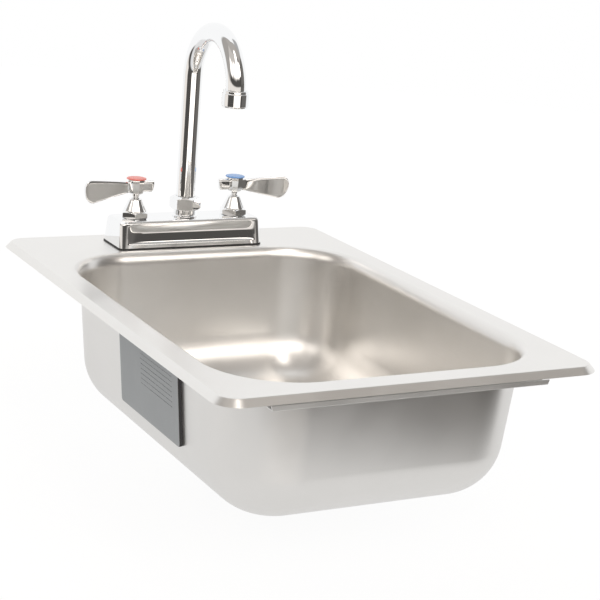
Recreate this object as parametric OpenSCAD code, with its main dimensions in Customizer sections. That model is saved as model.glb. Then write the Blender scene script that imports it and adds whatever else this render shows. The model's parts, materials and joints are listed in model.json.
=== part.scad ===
// Small drop-in hand sink with a deck faucet, in millimetres.
// The origin is the centre of the rim, level with the counter that the rim rests on.
// X runs left to right, Y runs front to back and Z points up.

/* [Rim] */
// Width of the rim, left to right
rim_w = 330.2; // [300:0.2:420]
// Depth of the rim, front to back
rim_d = 482.6; // [430:0.2:600]
// Height of the flat top above the counter
rim_h = 5.4; // [4:0.2:9]
// Width of the sloping edge all round
rim_slope_w = 5; // [3:0.5:9]
// Radius of the outer corners
rim_corner_r = 20; // [14:1:40]
// Thickness of the sheet steel
sheet_t = 1; // [0.8:0.1:1.5]

/* [Bowl] */
// Distance from the rim's side edge to the bowl's wall
bowl_side = 30.7; // [27:0.1:50]
// Distance from the rim's front edge to the bowl's wall
bowl_front = 31.1; // [30:0.1:60]
// Distance from the rim's back edge to the bowl's wall, for the faucet's deck
deck_d = 82.1; // [80:0.1:140]
// Depth from the flat top to the floor at the drain
bowl_deep = 127; // [112:1:180]
// Slope of the walls off the vertical, in degrees
wall_draft = 5.35; // [2:0.05:8]
// Radius of the floor's corners, seen from above
floor_corner_r = 7.4; // [4:0.2:30]
// Radius of the rolled edge between flat top and wall
bowl_roll_r = 8; // [5:0.5:11]
// Depth of that rolled edge
bowl_roll_h = 14; // [8:0.5:18]
// Radius between wall and floor, as a share of the room beside the drain's recess
floor_fillet_share = 0.628; // [0.4:0.001:0.65]
// Fall of the floor towards the drain
floor_fall = 3; // [1.5:0.5:6]

/* [Mounting rails] */
// Distance from the rim's side edge to the end of a rail
rail_end_gap = 41.1; // [30:0.1:90]
// Width of the channel, front to back
rail_w = 9; // [8:0.5:11]
// Height of the channel below the rim
rail_h = 13.2; // [10:0.2:20]
// Thickness of the channel
rail_t = 1; // [0.8:0.1:1.5]
// Height of the upturned lip
rail_lip_h = 4; // [2:0.5:5]
// Distance from the rim's edge to the channel
rail_inset = 10.8; // [8:0.1:12]

/* [Sound pads] */
// Length of a pad, front to back
pad_len = 119; // [80:1:200]
// Height of a pad
pad_h = 72; // [40:1:78]
// Thickness of a pad
pad_t = 3; // [2:0.5:5]
// Distance from the counter plane down to the pad's top edge
pad_top_drop = 8; // [6:0.5:16]
// Distance from the bowl's centre forward to the pad's centre
pad_forward = 21.5; // [0:0.5:35]

/* [Drain] */
// Radius of the drain hole in the floor
drain_hole_r = 44.5; // [44:0.1:47]
// Gap between the strainer's flange and the wall of the stamped recess round it
recess_gap = 2; // [1.5:0.5:10]
// Depth of that recess
recess_h = 3.5; // [3:0.5:6]
// Radius of the strainer's flange
strainer_flange_r = 56; // [50:0.5:56.5]
// Outer radius of the strainer's threaded cup
strainer_cup_r = 42.5; // [41.5:0.1:43]
// Wall of the strainer's cup
strainer_wall = 3; // [2:0.5:3.5]
// Depth of the strainer's cup
strainer_cup_h = 27.4; // [26:0.2:40]
// Outer radius of the threaded outlet
outlet_r = 23.8; // [22:0.1:26]
// Wall of the outlet
outlet_wall = 4; // [2.5:0.5:5]
// Length of the threaded outlet
outlet_len = 15.5; // [12:0.5:30]
// How far the basket lifts from closed to draining
basket_lift = 12; // [8:1:15]

/* [Faucet] */
// Distance from the rim's back edge to the faucet's centre line, as a share of the deck
faucet_back_share = 0.5505; // [0.54:0.0005:0.58]
// Distance between the two valve centres
valve_spread = 101.6; // [90:0.2:204]
// Distance from a valve's centre to the end of the body at the deck
base_end = 21.8; // [20.5:0.1:36]
// Depth of the body at the deck
base_d = 45; // [42:0.5:50]
// How far each end of the body leans in from the deck to its top
base_lean = 1; // [0.5:0.1:4]
// Depth of the body at its top
base_top_d = 38; // [29:0.5:40]
// Height of the body
base_h = 24.1; // [23.5:0.1:36]
// Wall of the hollow body
base_wall = 3; // [2:0.5:3.5]
// Thickness of the gasket under the body
base_gasket_t = 1.5; // [1:0.5:3]
// Outer radius of an inlet shank
shank_r = 10.3; // [9.8:0.1:10.5]
// Length of a shank below the deck
shank_len = 46; // [36:1:70]

/* [Spout] */
// Diameter of the spout tube
tube_d = 18; // [17:0.2:19]
// Wall of the spout tube
tube_wall = 1; // [0.8:0.1:1.2]
// Distance from the swivel's centre to the outlet's centre
spout_reach = 92; // [70:0.5:160]
// Height from the deck to the centre of the spout's arch
spout_rise = 158; // [100:0.2:260]
// Distance from the arch's centre down to the bottom of the aerator
outlet_drop = 13.2; // [11:0.2:60]
// Outer radius of the aerator
aerator_r = 12; // [11.6:0.1:14]
// Length of the aerator
aerator_len = 15; // [14:0.5:20]
// Width across the flats of the swivel nut
nut_flats = 25.4; // [24.6:0.2:30]

/* [Handles] */
// Length of the lever from the valve's axis to its tip
lever_len = 53.5; // [45:0.5:70]
// Height of the lever's blade at its widest
lever_h = 22.4; // [16:0.2:26]
// Thickness of the blade
lever_t = 4.6; // [3:0.1:6]
// How far the blade's tip curves to the front
lever_curve = 7.5; // [0:0.5:12]
// Length of the tail opposite the blade
tail_len = 17.8; // [13:0.2:20]
// Radius of the handle's hub
hub_r = 7.8; // [7:0.1:9]
// Height of the handle's hub
hub_h = 13.5; // [13:0.1:18]
// Radius of the coloured index button
index_r = 9.2; // [8:0.1:11]
// Angle that each handle turns from closed to open, in degrees
handle_turn = 90; // [45:5:120]

/* [Hidden] */
$fn = 64;

// Clearances shared by everything that fits together
slack = 0.3;
running = 0.06;
fixed_fit = 0.1;
overrun = 1;

// Steps of the smooth shapes
corner_steps = 10;
roll_steps = 5;
fillet_steps = 7;

// Places worked out from the sizes above
deck_z = rim_h;
faucet_y = rim_d / 2 - faucet_back_share * deck_d;
valve_x = valve_spread / 2;
base_w = valve_spread + 2 * base_end;
base_top_w = base_w - 2 * base_lean;
bowl_y = (bowl_front - deck_d) / 2;
floor_z = rim_h - bowl_deep;
recess_r = strainer_flange_r + recess_gap;
recess_z = floor_z - recess_h;
under_z = recess_z - sheet_t;
body_z = deck_z + base_gasket_t;
body_top = body_z + base_h;

// Rings of points: a rounded rectangle of half sizes hx and hy, at height z
function corner(cx, cy, r, start) =
    [for (i = [0:corner_steps]) let (a = start + 90 * i / corner_steps) [cx + r * cos(a), cy + r * sin(a)]];
function flat_ring(hx, hy, r) = concat(
    corner(hx - r, hy - r, r, 0), corner(r - hx, hy - r, r, 90),
    corner(r - hx, r - hy, r, 180), corner(hx - r, r - hy, r, 270));
function ring_at(hx, hy, r, cy, z) = [for (p = flat_ring(hx, hy, r)) [p[0], p[1] + cy, z]];

// Points from a to b that bow to the left of the way by sag, as a parabola
function bowed(a, b, sag, steps) =
    let (d = b - a, side = [-d[1], d[0]] / norm(d))
    [for (i = [0:steps]) let (u = i / steps) a + d * u + side * sag * 4 * u * (1 - u)];

// Faces between ring i and ring j of n points each, as triangles
function band(i, j, n) = [for (k = [0:n - 1]) let (m = (k + 1) % n)
    each [[i * n + k, j * n + m, i * n + m], [i * n + k, j * n + k, j * n + m]]];
function joined(rings) = [for (r = rings) each r];

// A closed skin whose last ring joins its first
module ring_loop(rings) {
    n = len(rings[0]);
    count = len(rings);
    polyhedron(joined(rings), [for (i = [0:count - 1]) each band(i, (i + 1) % count, n)]);
}

// A solid bar through the rings, closed at both ends
module ring_bar(rings) {
    n = len(rings[0]);
    last = len(rings) - 1;
    polyhedron(joined(rings), concat(
        [for (k = [1:n - 2]) [0, k, k + 1]],
        [for (i = [0:last - 1]) each band(i, i + 1, n)],
        [for (k = [1:n - 2]) [last * n, last * n + k + 1, last * n + k]]));
}

// A flat ring, or a tube
module washer(outer, inner, h) {
    difference() {
        cylinder(r = outer, h = h);
        translate([0, 0, -overrun]) cylinder(r = inner, h = h + 2 * overrun);
    }
}

// A six-sided bar with a corner pointing along +X
module hex_bar(flats, h) {
    cylinder(r = flats / 2 / cos(30), h = h, $fn = 6);
}

module rounded_plate(w, d, h, r) {
    linear_extrude(h) polygon(flat_ring(w / 2, d / 2, r));
}

// Sheet steel sink: one loop of rings, first over the top side, then back along the underside
roll_end = 90 - wall_draft;
slope_angle = atan(rim_h / rim_slope_w);
slope_edge = sheet_t / sin(slope_angle);
slope_corner = sheet_t * tan(slope_angle / 2);
roll_start_x = rim_w / 2 - bowl_side + bowl_roll_r;
roll_start_y = (rim_d - bowl_front - deck_d) / 2 + bowl_roll_r;
floor_fillet_r = floor_fillet_share * (rim_w / 2 - bowl_side - recess_r);
floor_edge_z = floor_z + floor_fall;
fillet_top_z = floor_edge_z + floor_fillet_r * (1 - cos(roll_end));
wall_run = roll_inset(roll_end) + (roll_z(roll_end) - fillet_top_z) * tan(wall_draft);
roll_corner_r = floor_corner_r + wall_run + floor_fillet_r * sin(roll_end);
recess_slope = recess_h / 2;
core_r = drain_hole_r / 2;

// The rolled edge is a quarter of an ellipse, found here by the slope of its surface
function roll_turn(slope) = atan2(bowl_roll_r * sin(slope), bowl_roll_h * cos(slope));
function roll_inset(slope) = bowl_roll_r * sin(roll_turn(slope));
function roll_z(slope) = rim_h - bowl_roll_h * (1 - cos(roll_turn(slope)));

// side is 0 for the top skin and sheet_t for the underskin, which lies that far along the normal
function bowl_ring(inset, z, slope, side) = ring_at(
    roll_start_x - inset + side * sin(slope), roll_start_y - inset + side * sin(slope),
    roll_corner_r - inset + side * sin(slope), bowl_y, z - side * cos(slope));
function drain_ring(r, z, side) = ring_at(r, r, r, bowl_y, z - side);
function skin(side) = concat(
    [for (i = [0:roll_steps]) let (a = roll_end * i / roll_steps) bowl_ring(roll_inset(a), roll_z(a), a, side)],
    [for (i = [0:fillet_steps]) let (a = roll_end * (1 - i / fillet_steps))
        bowl_ring(wall_run + floor_fillet_r * (sin(roll_end) - sin(a)),
            floor_edge_z + floor_fillet_r * (1 - cos(a)), a, side)],
    [drain_ring(recess_r + recess_slope, floor_z, side), drain_ring(recess_r, recess_z, side),
        drain_ring(core_r, recess_z, side)]);
rim_edge = ring_at(rim_w / 2, rim_d / 2, rim_corner_r, 0, 0);
rim_top = ring_at(rim_w / 2 - rim_slope_w, rim_d / 2 - rim_slope_w, rim_corner_r - rim_slope_w, 0, rim_h);
rim_under = ring_at(rim_w / 2 - rim_slope_w - slope_corner, rim_d / 2 - rim_slope_w - slope_corner,
    rim_corner_r - rim_slope_w - slope_corner, 0, rim_h - sheet_t);
rim_foot = ring_at(rim_w / 2 - slope_edge, rim_d / 2 - slope_edge, rim_corner_r - slope_edge, 0, 0);

// Holes in the deck for the faucet's shanks
deck_hole_r = shank_r + 4 * running + 3 * sheet_t;

module sink_shell() {
    under = skin(sheet_t);
    color([0.86, 0.86, 0.85]) difference() {
        ring_loop(concat([rim_edge, rim_top], skin(0),
            [for (i = [len(under) - 1:-1:0]) under[i]], [rim_under, rim_foot]));
        translate([0, bowl_y, recess_z - sheet_t - overrun])
            cylinder(r = drain_hole_r, h = sheet_t + 2 * overrun);
        for (x = [-valve_x, valve_x])
            translate([x, faucet_y, -overrun]) cylinder(r = deck_hole_r, h = rim_h + 2 * overrun);
    }
}

// Mounting rails: channels welded under the rim, open towards its edge, with mitred ends
module mounting_rail() {
    top = rim_h - sheet_t;
    low = top - rail_h;
    front = -rim_d / 2 + rail_inset;
    back = front + rail_w;
    rail_len = rim_w - 2 * rail_end_gap;
    intersection() {
        rotate([90, 0, 90]) translate([0, 0, -rail_len / 2]) linear_extrude(rail_len) polygon([
            [front, top], [back, top], [back, low], [front, low], [front, low + rail_lip_h],
            [front + rail_t, low + rail_lip_h], [front + rail_t, low + rail_t],
            [back - rail_t, low + rail_t], [back - rail_t, top - rail_t], [front, top - rail_t]]);
        rotate([90, 0, 0]) translate([0, 0, -rim_d]) linear_extrude(2 * rim_d) polygon([
            [-rail_len / 2, top], [rail_len / 2, top],
            [rail_len / 2 - rail_w / 2, low], [rail_w / 2 - rail_len / 2, low]]);
    }
}
module front_rail() {
    color([0.75, 0.75, 0.74]) mounting_rail();
}
module back_rail() {
    color([0.75, 0.75, 0.74]) mirror([0, 1, 0]) mounting_rail();
}

// Sound-deadening pads, laid on the drafted side walls
pad_corner_r = pad_t;
wall_top_x = roll_start_x - roll_inset(roll_end);
wall_x = wall_top_x - (roll_z(roll_end) + pad_top_drop) * tan(wall_draft) + (sheet_t + fixed_fit) / cos(wall_draft);
module sound_pad() {
    translate([wall_x, bowl_y - pad_forward, -pad_top_drop]) rotate([0, wall_draft, 0])
        rotate([0, 90, 0]) translate([pad_h / 2, 0, 0])
            rounded_plate(pad_h, pad_len, pad_t, pad_corner_r);
}
module left_sound_pad() {
    color([0.56, 0.58, 0.59]) mirror([1, 0, 0]) sound_pad();
}
module right_sound_pad() {
    color([0.56, 0.58, 0.59]) sound_pad();
}

// Drain: a strainer that clamps the floor between its flange and a locknut
seal_t = 1;
flange_t = 1.5;
gasket_t = 3;
friction_t = 1;
locknut_h = 11;
locknut_r = strainer_flange_r;
strainer_top = recess_z + seal_t + flange_t;
cup_inner_r = strainer_cup_r - strainer_wall;
cup_floor_z = strainer_top - strainer_cup_h;
cup_floor_t = 2.5;
cup_shoulder = 6;
outlet_z = cup_floor_z - cup_floor_t - outlet_len;
outlet_inner_r = outlet_r - outlet_wall;
post_r = 2.5;
spider_r = 6;
spider_bar = 3;
spider_h = 4;

module at_drain(z) {
    translate([0, bowl_y, z]) children();
}
module drain_sealing_ring() {
    color([0.35, 0.34, 0.32]) at_drain(recess_z)
        washer(strainer_flange_r - seal_t, strainer_cup_r + seal_t, seal_t);
}
module strainer_body() {
    shoulder_r = strainer_cup_r - cup_shoulder;
    color([0.8, 0.8, 0.79]) at_drain(0) difference() {
        union() {
            rotate_extrude() polygon([
                [outlet_inner_r, outlet_z], [outlet_r, outlet_z], [outlet_r, cup_floor_z - cup_floor_t],
                [shoulder_r, cup_floor_z - cup_floor_t], [strainer_cup_r, cup_floor_z - cup_floor_t + cup_shoulder],
                [strainer_cup_r, strainer_top - flange_t], [strainer_flange_r, strainer_top - flange_t],
                [strainer_flange_r, strainer_top - flange_t / 2], [cup_inner_r + flange_t, strainer_top],
                [cup_inner_r, strainer_top - flange_t], [cup_inner_r, cup_floor_z],
                [outlet_inner_r, cup_floor_z]]);
            translate([0, 0, cup_floor_z - cup_floor_t - spider_h]) {
                cylinder(r = spider_r, h = spider_h);
                for (turn = [0, 90]) rotate(turn) translate([-outlet_inner_r - overrun, -spider_bar / 2, 0])
                    cube([2 * outlet_inner_r + 2 * overrun, spider_bar, spider_h]);
            }
        }
        translate([0, 0, outlet_z]) cylinder(r = post_r + running, h = cup_floor_z - outlet_z);
    }
}
module drain_gasket() {
    color([0.12, 0.12, 0.12]) at_drain(under_z - gasket_t)
        washer(locknut_r, strainer_cup_r + fixed_fit, gasket_t);
}
module drain_friction_ring() {
    color([0.7, 0.6, 0.45]) at_drain(under_z - gasket_t - friction_t)
        washer(locknut_r, strainer_cup_r + fixed_fit, friction_t);
}
locknut_lugs = 6;
lug_w = 9;
lug_reach = 2.5;
module drain_locknut() {
    ring_r = locknut_r - lug_reach;
    color([0.72, 0.72, 0.7]) at_drain(under_z - gasket_t - friction_t - locknut_h) difference() {
        union() {
            cylinder(r = ring_r, h = locknut_h);
            for (i = [0:locknut_lugs - 1]) rotate(i * 360 / locknut_lugs)
                translate([0, -lug_w / 2, 0]) cube([locknut_r, lug_w, locknut_h]);
        }
        translate([0, 0, -overrun])
            cylinder(r = strainer_cup_r + fixed_fit, h = locknut_h + 2 * overrun);
    }
}

// Basket that lifts out of the strainer, with its rubber stopper and its post
stopper_t = 2.4;
stopper_r = outlet_r;
basket_t = 0.8;
basket_rim_r = cup_inner_r - 2 * slack;
basket_low_r = 30;
basket_rim_w = 2;
basket_z = cup_floor_z + slack + stopper_t;
basket_top = strainer_top - flange_t - 2 * slack;
knob_r = 6;
knob_h = 4;
post_tail = cup_floor_t + basket_lift + post_r;
hole_row_shares = [0.35, 0.57, 0.8];
holes_in_first_row = 8;
basket_hole_r = 1.8;
module strainer_basket() {
    color([0.82, 0.82, 0.81]) at_drain(basket_z) difference() {
        rotate_extrude() polygon([
            [0, 0], [basket_low_r, 0], [basket_rim_r - basket_rim_w, basket_top - basket_z - basket_t],
            [basket_rim_r, basket_top - basket_z - basket_t], [basket_rim_r, basket_top - basket_z],
            [basket_rim_r - basket_rim_w - basket_t, basket_top - basket_z],
            [basket_low_r - basket_t, basket_t], [0, basket_t]]);
        translate([0, 0, -overrun]) cylinder(r = post_r + fixed_fit, h = basket_t + 2 * overrun);
        for (row = [0:len(hole_row_shares) - 1], i = [0:holes_in_first_row * (1 + row / 2) - 1])
            rotate(360 * i / (holes_in_first_row * (1 + row / 2)))
                translate([hole_row_shares[row] * basket_low_r, 0, -overrun])
                    cylinder(r = basket_hole_r, h = basket_t + 2 * overrun);
    }
}
module basket_stopper() {
    color([0.15, 0.15, 0.15]) at_drain(cup_floor_z + slack)
        washer(stopper_r, post_r + fixed_fit, stopper_t);
}
module basket_post() {
    color([0.82, 0.82, 0.81]) at_drain(0) {
        translate([0, 0, cup_floor_z - post_tail]) cylinder(r = post_r, h = strainer_top - cup_floor_z + post_tail);
        translate([0, 0, basket_z + basket_t]) cylinder(r = 2 * post_r, h = basket_t);
        translate([0, 0, strainer_top]) cylinder(r1 = knob_r - basket_t, r2 = knob_r, h = knob_h);
    }
}

// Faucet body: a hollow casting with a scooped front, two valve wells and a spout spigot
socket_h = 6;
web_t = 2;
cartridge_r = 10;
well_z = body_z + socket_h + web_t;
seat_t = 1.5;
disc_t = 2.5;
foot_t = 2.5;
moving_z = well_z + seat_t + disc_t + slack;
foot_z = moving_z + disc_t;
channel_z = foot_z;
channel_r = 3;
duct_w = 11;
duct_drop = 5.5;
lip_h = 3.5;
scoop_depth = 3.6;
scoop_steps = 12;
edge_cut = 2;
body_corner_r = 5;
pillar_w = 7;
spigot_h = 15;
spigot_r = 10.4;
spigot_top = body_top + spigot_h;
tube_r = tube_d / 2;
insert_z = channel_z + channel_r + 2 * web_t;

module at_faucet(x, z) {
    translate([x, faucet_y, z]) children();
}
module body_block() {
    half_w = base_top_w / 2;
    half_d = base_top_d / 2;
    edge_z = base_h - edge_cut;
    difference() {
        ring_bar([ring_at(base_w / 2, base_d / 2, body_corner_r, 0, 0),
            ring_at(half_w, half_d, body_corner_r, 0, edge_z),
            ring_at(half_w - edge_cut, half_d - edge_cut, body_corner_r - edge_cut, 0, base_h)]);
        rotate([90, 0, 90]) translate([0, 0, pillar_w - half_w]) linear_extrude(base_top_w - 2 * pillar_w)
            polygon(concat(bowed([-half_d, edge_z], [-base_d / 2, lip_h], scoop_depth, scoop_steps),
                [[-base_d, lip_h], [-base_d, edge_z]]));
    }
}
module body_cavity() {
    low = base_d / 2 - base_wall;
    front = low - scoop_depth;
    top_half = base_top_d / 2 - base_wall;
    intersection() {
        rotate([90, 0, 90]) translate([0, 0, -base_w]) linear_extrude(2 * base_w) polygon([
            [-front, -overrun], [low, -overrun], [top_half, base_h - base_wall],
            [scoop_depth - top_half, base_h - base_wall]]);
        rotate([90, 0, 0]) translate([0, 0, -base_d]) linear_extrude(2 * base_d) polygon([
            [base_wall - base_w / 2, -overrun], [base_w / 2 - base_wall, -overrun],
            [base_top_w / 2 - base_wall, base_h - base_wall], [base_wall - base_top_w / 2, base_h - base_wall]]);
    }
}
module body_bores() {
    for (x = [-valve_x, valve_x]) translate([x, 0, 0]) {
        translate([0, 0, -overrun]) cylinder(r = shank_r + running, h = socket_h + overrun);
        cylinder(r = channel_r, h = base_h);
        translate([0, 0, well_z - body_z]) cylinder(r = cartridge_r + fixed_fit, h = base_h);
    }
    translate([-valve_x, 0, channel_z - body_z]) rotate([0, 90, 0]) cylinder(r = channel_r, h = valve_spread);
    translate([0, 0, insert_z - body_z - web_t]) cylinder(r = tube_r + running, h = base_h + spigot_h);
    translate([0, 0, channel_z - body_z]) cylinder(r = channel_r, h = base_h);
}
module faucet_body() {
    color([0.85, 0.86, 0.87]) at_faucet(0, body_z) difference() {
        union() {
            difference() {
                body_block();
                difference() {
                    body_cavity();
                    for (x = [-valve_x, valve_x]) translate([x, 0, -overrun])
                        cylinder(r = cartridge_r + base_wall, h = base_h);
                    translate([0, 0, channel_z - body_z - duct_drop]) cylinder(r = tube_r + base_wall, h = base_h);
                    translate([-valve_x, -duct_w / 2, channel_z - body_z - duct_drop])
                        cube([valve_spread, duct_w, base_h]);
                }
            }
            translate([0, 0, base_h - base_wall]) cylinder(r = spigot_r, h = base_wall + spigot_h);
        }
        body_bores();
    }
}
gasket_overhang = 0.6;
module faucet_gasket() {
    w = base_w + 2 * gasket_overhang;
    d = base_d + 2 * gasket_overhang;
    color([0.1, 0.1, 0.1]) at_faucet(0, deck_z) difference() {
        rounded_plate(w, d, base_gasket_t, body_corner_r + gasket_overhang);
        for (x = [-valve_x, valve_x]) translate([x, 0, -overrun])
            cylinder(r = shank_r + slack, h = base_gasket_t + 2 * overrun);
    }
}

// Inlet shanks below the deck, with their washers and locknuts
shank_wall = 3.3;
shank_washer_r = 16.5;
shank_washer_t = 2;
shank_nut_flats = 28;
shank_nut_h = 8;
under_deck = rim_h - sheet_t;
shank_relief = 0.5;
module inlet_shank(x) {
    bore = shank_r - shank_wall;
    relief_top = under_deck - shank_washer_t - shank_nut_h - deck_z + shank_len;
    relief_low = relief_top - 3 * shank_relief;
    color([0.78, 0.63, 0.35]) at_faucet(x, deck_z - shank_len) rotate_extrude() polygon([
        [bore, 0], [shank_r, 0], [shank_r, relief_low], [shank_r - shank_relief, relief_low],
        [shank_r - shank_relief, relief_top], [shank_r, relief_top],
        [shank_r, shank_len + base_gasket_t + socket_h], [bore, shank_len + base_gasket_t + socket_h]]);
}
module hot_shank() {
    inlet_shank(-valve_x);
}
module cold_shank() {
    inlet_shank(valve_x);
}
module shank_washers() {
    for (x = [-valve_x, valve_x]) color([0.2, 0.2, 0.2]) at_faucet(x, under_deck - shank_washer_t)
        washer(shank_washer_r, shank_r + fixed_fit, shank_washer_t);
}
module shank_locknuts() {
    for (x = [-valve_x, valve_x]) color([0.78, 0.63, 0.35])
        at_faucet(x, under_deck - shank_washer_t - shank_nut_h) difference() {
            hex_bar(shank_nut_flats, shank_nut_h);
            translate([0, 0, -overrun]) cylinder(r = shank_r + fixed_fit, h = shank_nut_h + 2 * overrun);
        }
}

// Quarter-turn valves: sleeve, seat washer, one fixed and one turning ceramic disc, and a stem
cavity_r = 8;
disc_r = 7.6;
port_r = 2;
port_offset = 4.2;
neck_r = 7.5;
neck_h = 11;
stem_r = 3.6;
stem_foot_r = 7.2;
bonnet_flats = 23;
bonnet_hex_h = 6.5;
bonnet_h = 18;
cone_low_r = 10.4;
cone_top_r = 6.2;
stem_show = 5;
hub_z = body_top + bonnet_h + stem_show;
stem_grip = 8;
screw_r = 1.5;
screw_head_r = 4;
screw_head_h = 2.4;
screw_web = 1.5;
recess_deep = hub_h - stem_grip - slack - screw_web;
hot_nut_turn = 9;
cold_nut_turn = 15;

module cartridge(x) {
    top_h = body_top - well_z;
    cavity_h = foot_z + foot_t + slack - well_z;
    color([0.75, 0.62, 0.36]) at_faucet(x, well_z) difference() {
        union() {
            cylinder(r = cartridge_r, h = top_h);
            translate([0, 0, top_h - web_t]) cylinder(r = neck_r, h = neck_h + web_t);
        }
        translate([0, 0, -overrun]) cylinder(r = cavity_r, h = cavity_h + overrun);
        cylinder(r = stem_r + running, h = top_h + neck_h + overrun);
        translate([0, 0, channel_z - well_z]) rotate([0, x > 0 ? -90 : 90, 0])
            cylinder(r = channel_r, h = 2 * cartridge_r);
    }
}
module ported_disc(x, z, turn) {
    color([0.93, 0.92, 0.88]) at_faucet(x, z) difference() {
        cylinder(r = disc_r, h = disc_t);
        for (side = [0, 180]) rotate(turn + side) translate([port_offset, 0, -overrun])
            cylinder(r = port_r, h = disc_t + 2 * overrun);
    }
}
module hot_cartridge() {
    cartridge(-valve_x);
}
module cold_cartridge() {
    cartridge(valve_x);
}
module seat_washers() {
    for (x = [-valve_x, valve_x]) color([0.15, 0.15, 0.15]) at_faucet(x, well_z)
        washer(disc_r, channel_r, seat_t);
}
module hot_fixed_disc() {
    ported_disc(-valve_x, well_z + seat_t, 0);
}
module cold_fixed_disc() {
    ported_disc(valve_x, well_z + seat_t, 0);
}
module hot_moving_disc() {
    ported_disc(-valve_x, moving_z, handle_turn);
}
module cold_moving_disc() {
    ported_disc(valve_x, moving_z, handle_turn);
}
module stem(x) {
    color([0.85, 0.86, 0.87]) at_faucet(x, foot_z) difference() {
        union() {
            cylinder(r = stem_foot_r, h = foot_t);
            cylinder(r = stem_r, h = hub_z + stem_grip - foot_z);
        }
        translate([0, 0, hub_z - foot_z]) cylinder(r = screw_r + running, h = stem_grip + overrun);
    }
}
module hot_stem() {
    stem(-valve_x);
}
module cold_stem() {
    stem(valve_x);
}
module bonnet(x, turn) {
    color([0.85, 0.86, 0.87]) at_faucet(x, body_top) difference() {
        union() {
            rotate(turn) intersection() {
                hex_bar(bonnet_flats, bonnet_hex_h);
                cylinder(r1 = bonnet_flats, r2 = bonnet_flats / 2, h = bonnet_hex_h);
            }
            translate([0, 0, bonnet_hex_h - web_t])
                cylinder(r1 = cone_low_r + fixed_fit, r2 = cone_top_r, h = bonnet_h - bonnet_hex_h + web_t);
        }
        translate([0, 0, -overrun]) cylinder(r = neck_r + slack, h = neck_h + slack + overrun);
        cylinder(r = stem_r + running, h = bonnet_h + overrun);
    }
}
module hot_bonnet() {
    bonnet(-valve_x, hot_nut_turn);
}
module cold_bonnet() {
    bonnet(valve_x, cold_nut_turn);
}

// Lever handles: an eight-sided hub, a long blade that widens outwards, and a short tail
blade_steps = 14;
blade_sides = 16;
root_h = 9;
root_drop = 3;
blade_rise = 4.5;
blade_start = hub_r / 2;
top_round_share = 0.14;
low_round_share = 0.2;
top_round_h = 7;
low_round_h = 12.5;
tail_h = 11;
tail_t = 5;
tail_start = hub_r / 2;
tail_round = 2;
// Height that a rounded corner takes off, u being the share of the way to the tip
function round_off(u, share, h) = u < 1 - share ? 0 : h * (1 - sqrt(max(0, 1 - pow((u - 1 + share) / share, 2))));
// One section of a wing across X at s, with its centre at y and z, half thickness ht and half height hh
function section(s, y, z, ht, hh) = [for (k = [0:blade_sides - 1])
    let (a = 360 * (k + 0.5) / blade_sides, c = cos(a), d = sin(a))
    [s, y + ht * sign(c) * sqrt(abs(c)), z + hh * sign(d) * sqrt(abs(d))]];
function blade_section(u) =
    let (low_drop = lever_h - root_h - blade_rise,
        top = hub_h - root_drop + blade_rise * u - round_off(u, top_round_share, top_round_h),
        low = hub_h - root_drop - root_h - low_drop * min(1, u / (1 - low_round_share))
            + round_off(u, low_round_share, low_round_h))
    section(blade_start + (lever_len - blade_start) * u, -lever_curve * u * u, (top + low) / 2,
        lever_t / 2, (top - low) / 2);
function tail_section(s, h) = section(s, 0, hub_h - root_drop / 2 - tail_h / 2, tail_t / 2, h / 2);
module lever() {
    difference() {
        union() {
            cylinder(r = hub_r, h = hub_h, $fn = 8);
            ring_bar([for (i = [0:blade_steps]) blade_section(sin(90 * i / blade_steps))]);
            ring_bar([tail_section(-tail_len, tail_h - 2 * tail_round), tail_section(tail_round - tail_len, tail_h),
                tail_section(-tail_start, tail_h - tail_round)]);
        }
        translate([0, 0, -overrun]) cylinder(r = stem_r + fixed_fit, h = stem_grip + slack + overrun);
        cylinder(r = screw_r + fixed_fit, h = hub_h);
        translate([0, 0, hub_h - recess_deep]) cylinder(r = screw_head_r + slack, h = recess_deep + overrun);
    }
}
module handle_screw(x) {
    slot_w = 1;
    color([0.8, 0.8, 0.8]) at_faucet(x, hub_z) difference() {
        union() {
            translate([0, 0, web_t]) cylinder(r = screw_r, h = hub_h - recess_deep - web_t);
            translate([0, 0, hub_h - recess_deep]) cylinder(r = screw_head_r, h = screw_head_h);
        }
        translate([-screw_head_r, -slot_w / 2, hub_h - recess_deep + screw_head_h / 2])
            cube([2 * screw_head_r, slot_w, screw_head_h]);
    }
}
button_t = 1.5;
button_edge = 0.6;
module index_button(x, tint) {
    color(tint) at_faucet(x, hub_z + hub_h) rotate_extrude() polygon([
        [0, screw_head_h + slack - recess_deep], [screw_head_r, screw_head_h + slack - recess_deep],
        [screw_head_r, 0], [index_r, 0], [index_r, button_t - button_edge],
        [index_r - 2 * button_edge, button_t], [0, button_t]]);
}
module hot_handle() {
    color([0.85, 0.86, 0.87]) at_faucet(-valve_x, hub_z) mirror([1, 0, 0]) lever();
}
module cold_handle() {
    color([0.85, 0.86, 0.87]) at_faucet(valve_x, hub_z) lever();
}
module hot_handle_screw() {
    handle_screw(-valve_x);
}
module cold_handle_screw() {
    handle_screw(valve_x);
}
module hot_index_button() {
    index_button(-valve_x, [0.9, 0.35, 0.3]);
}
module cold_index_button() {
    index_button(valve_x, [0.35, 0.55, 0.9]);
}

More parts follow.
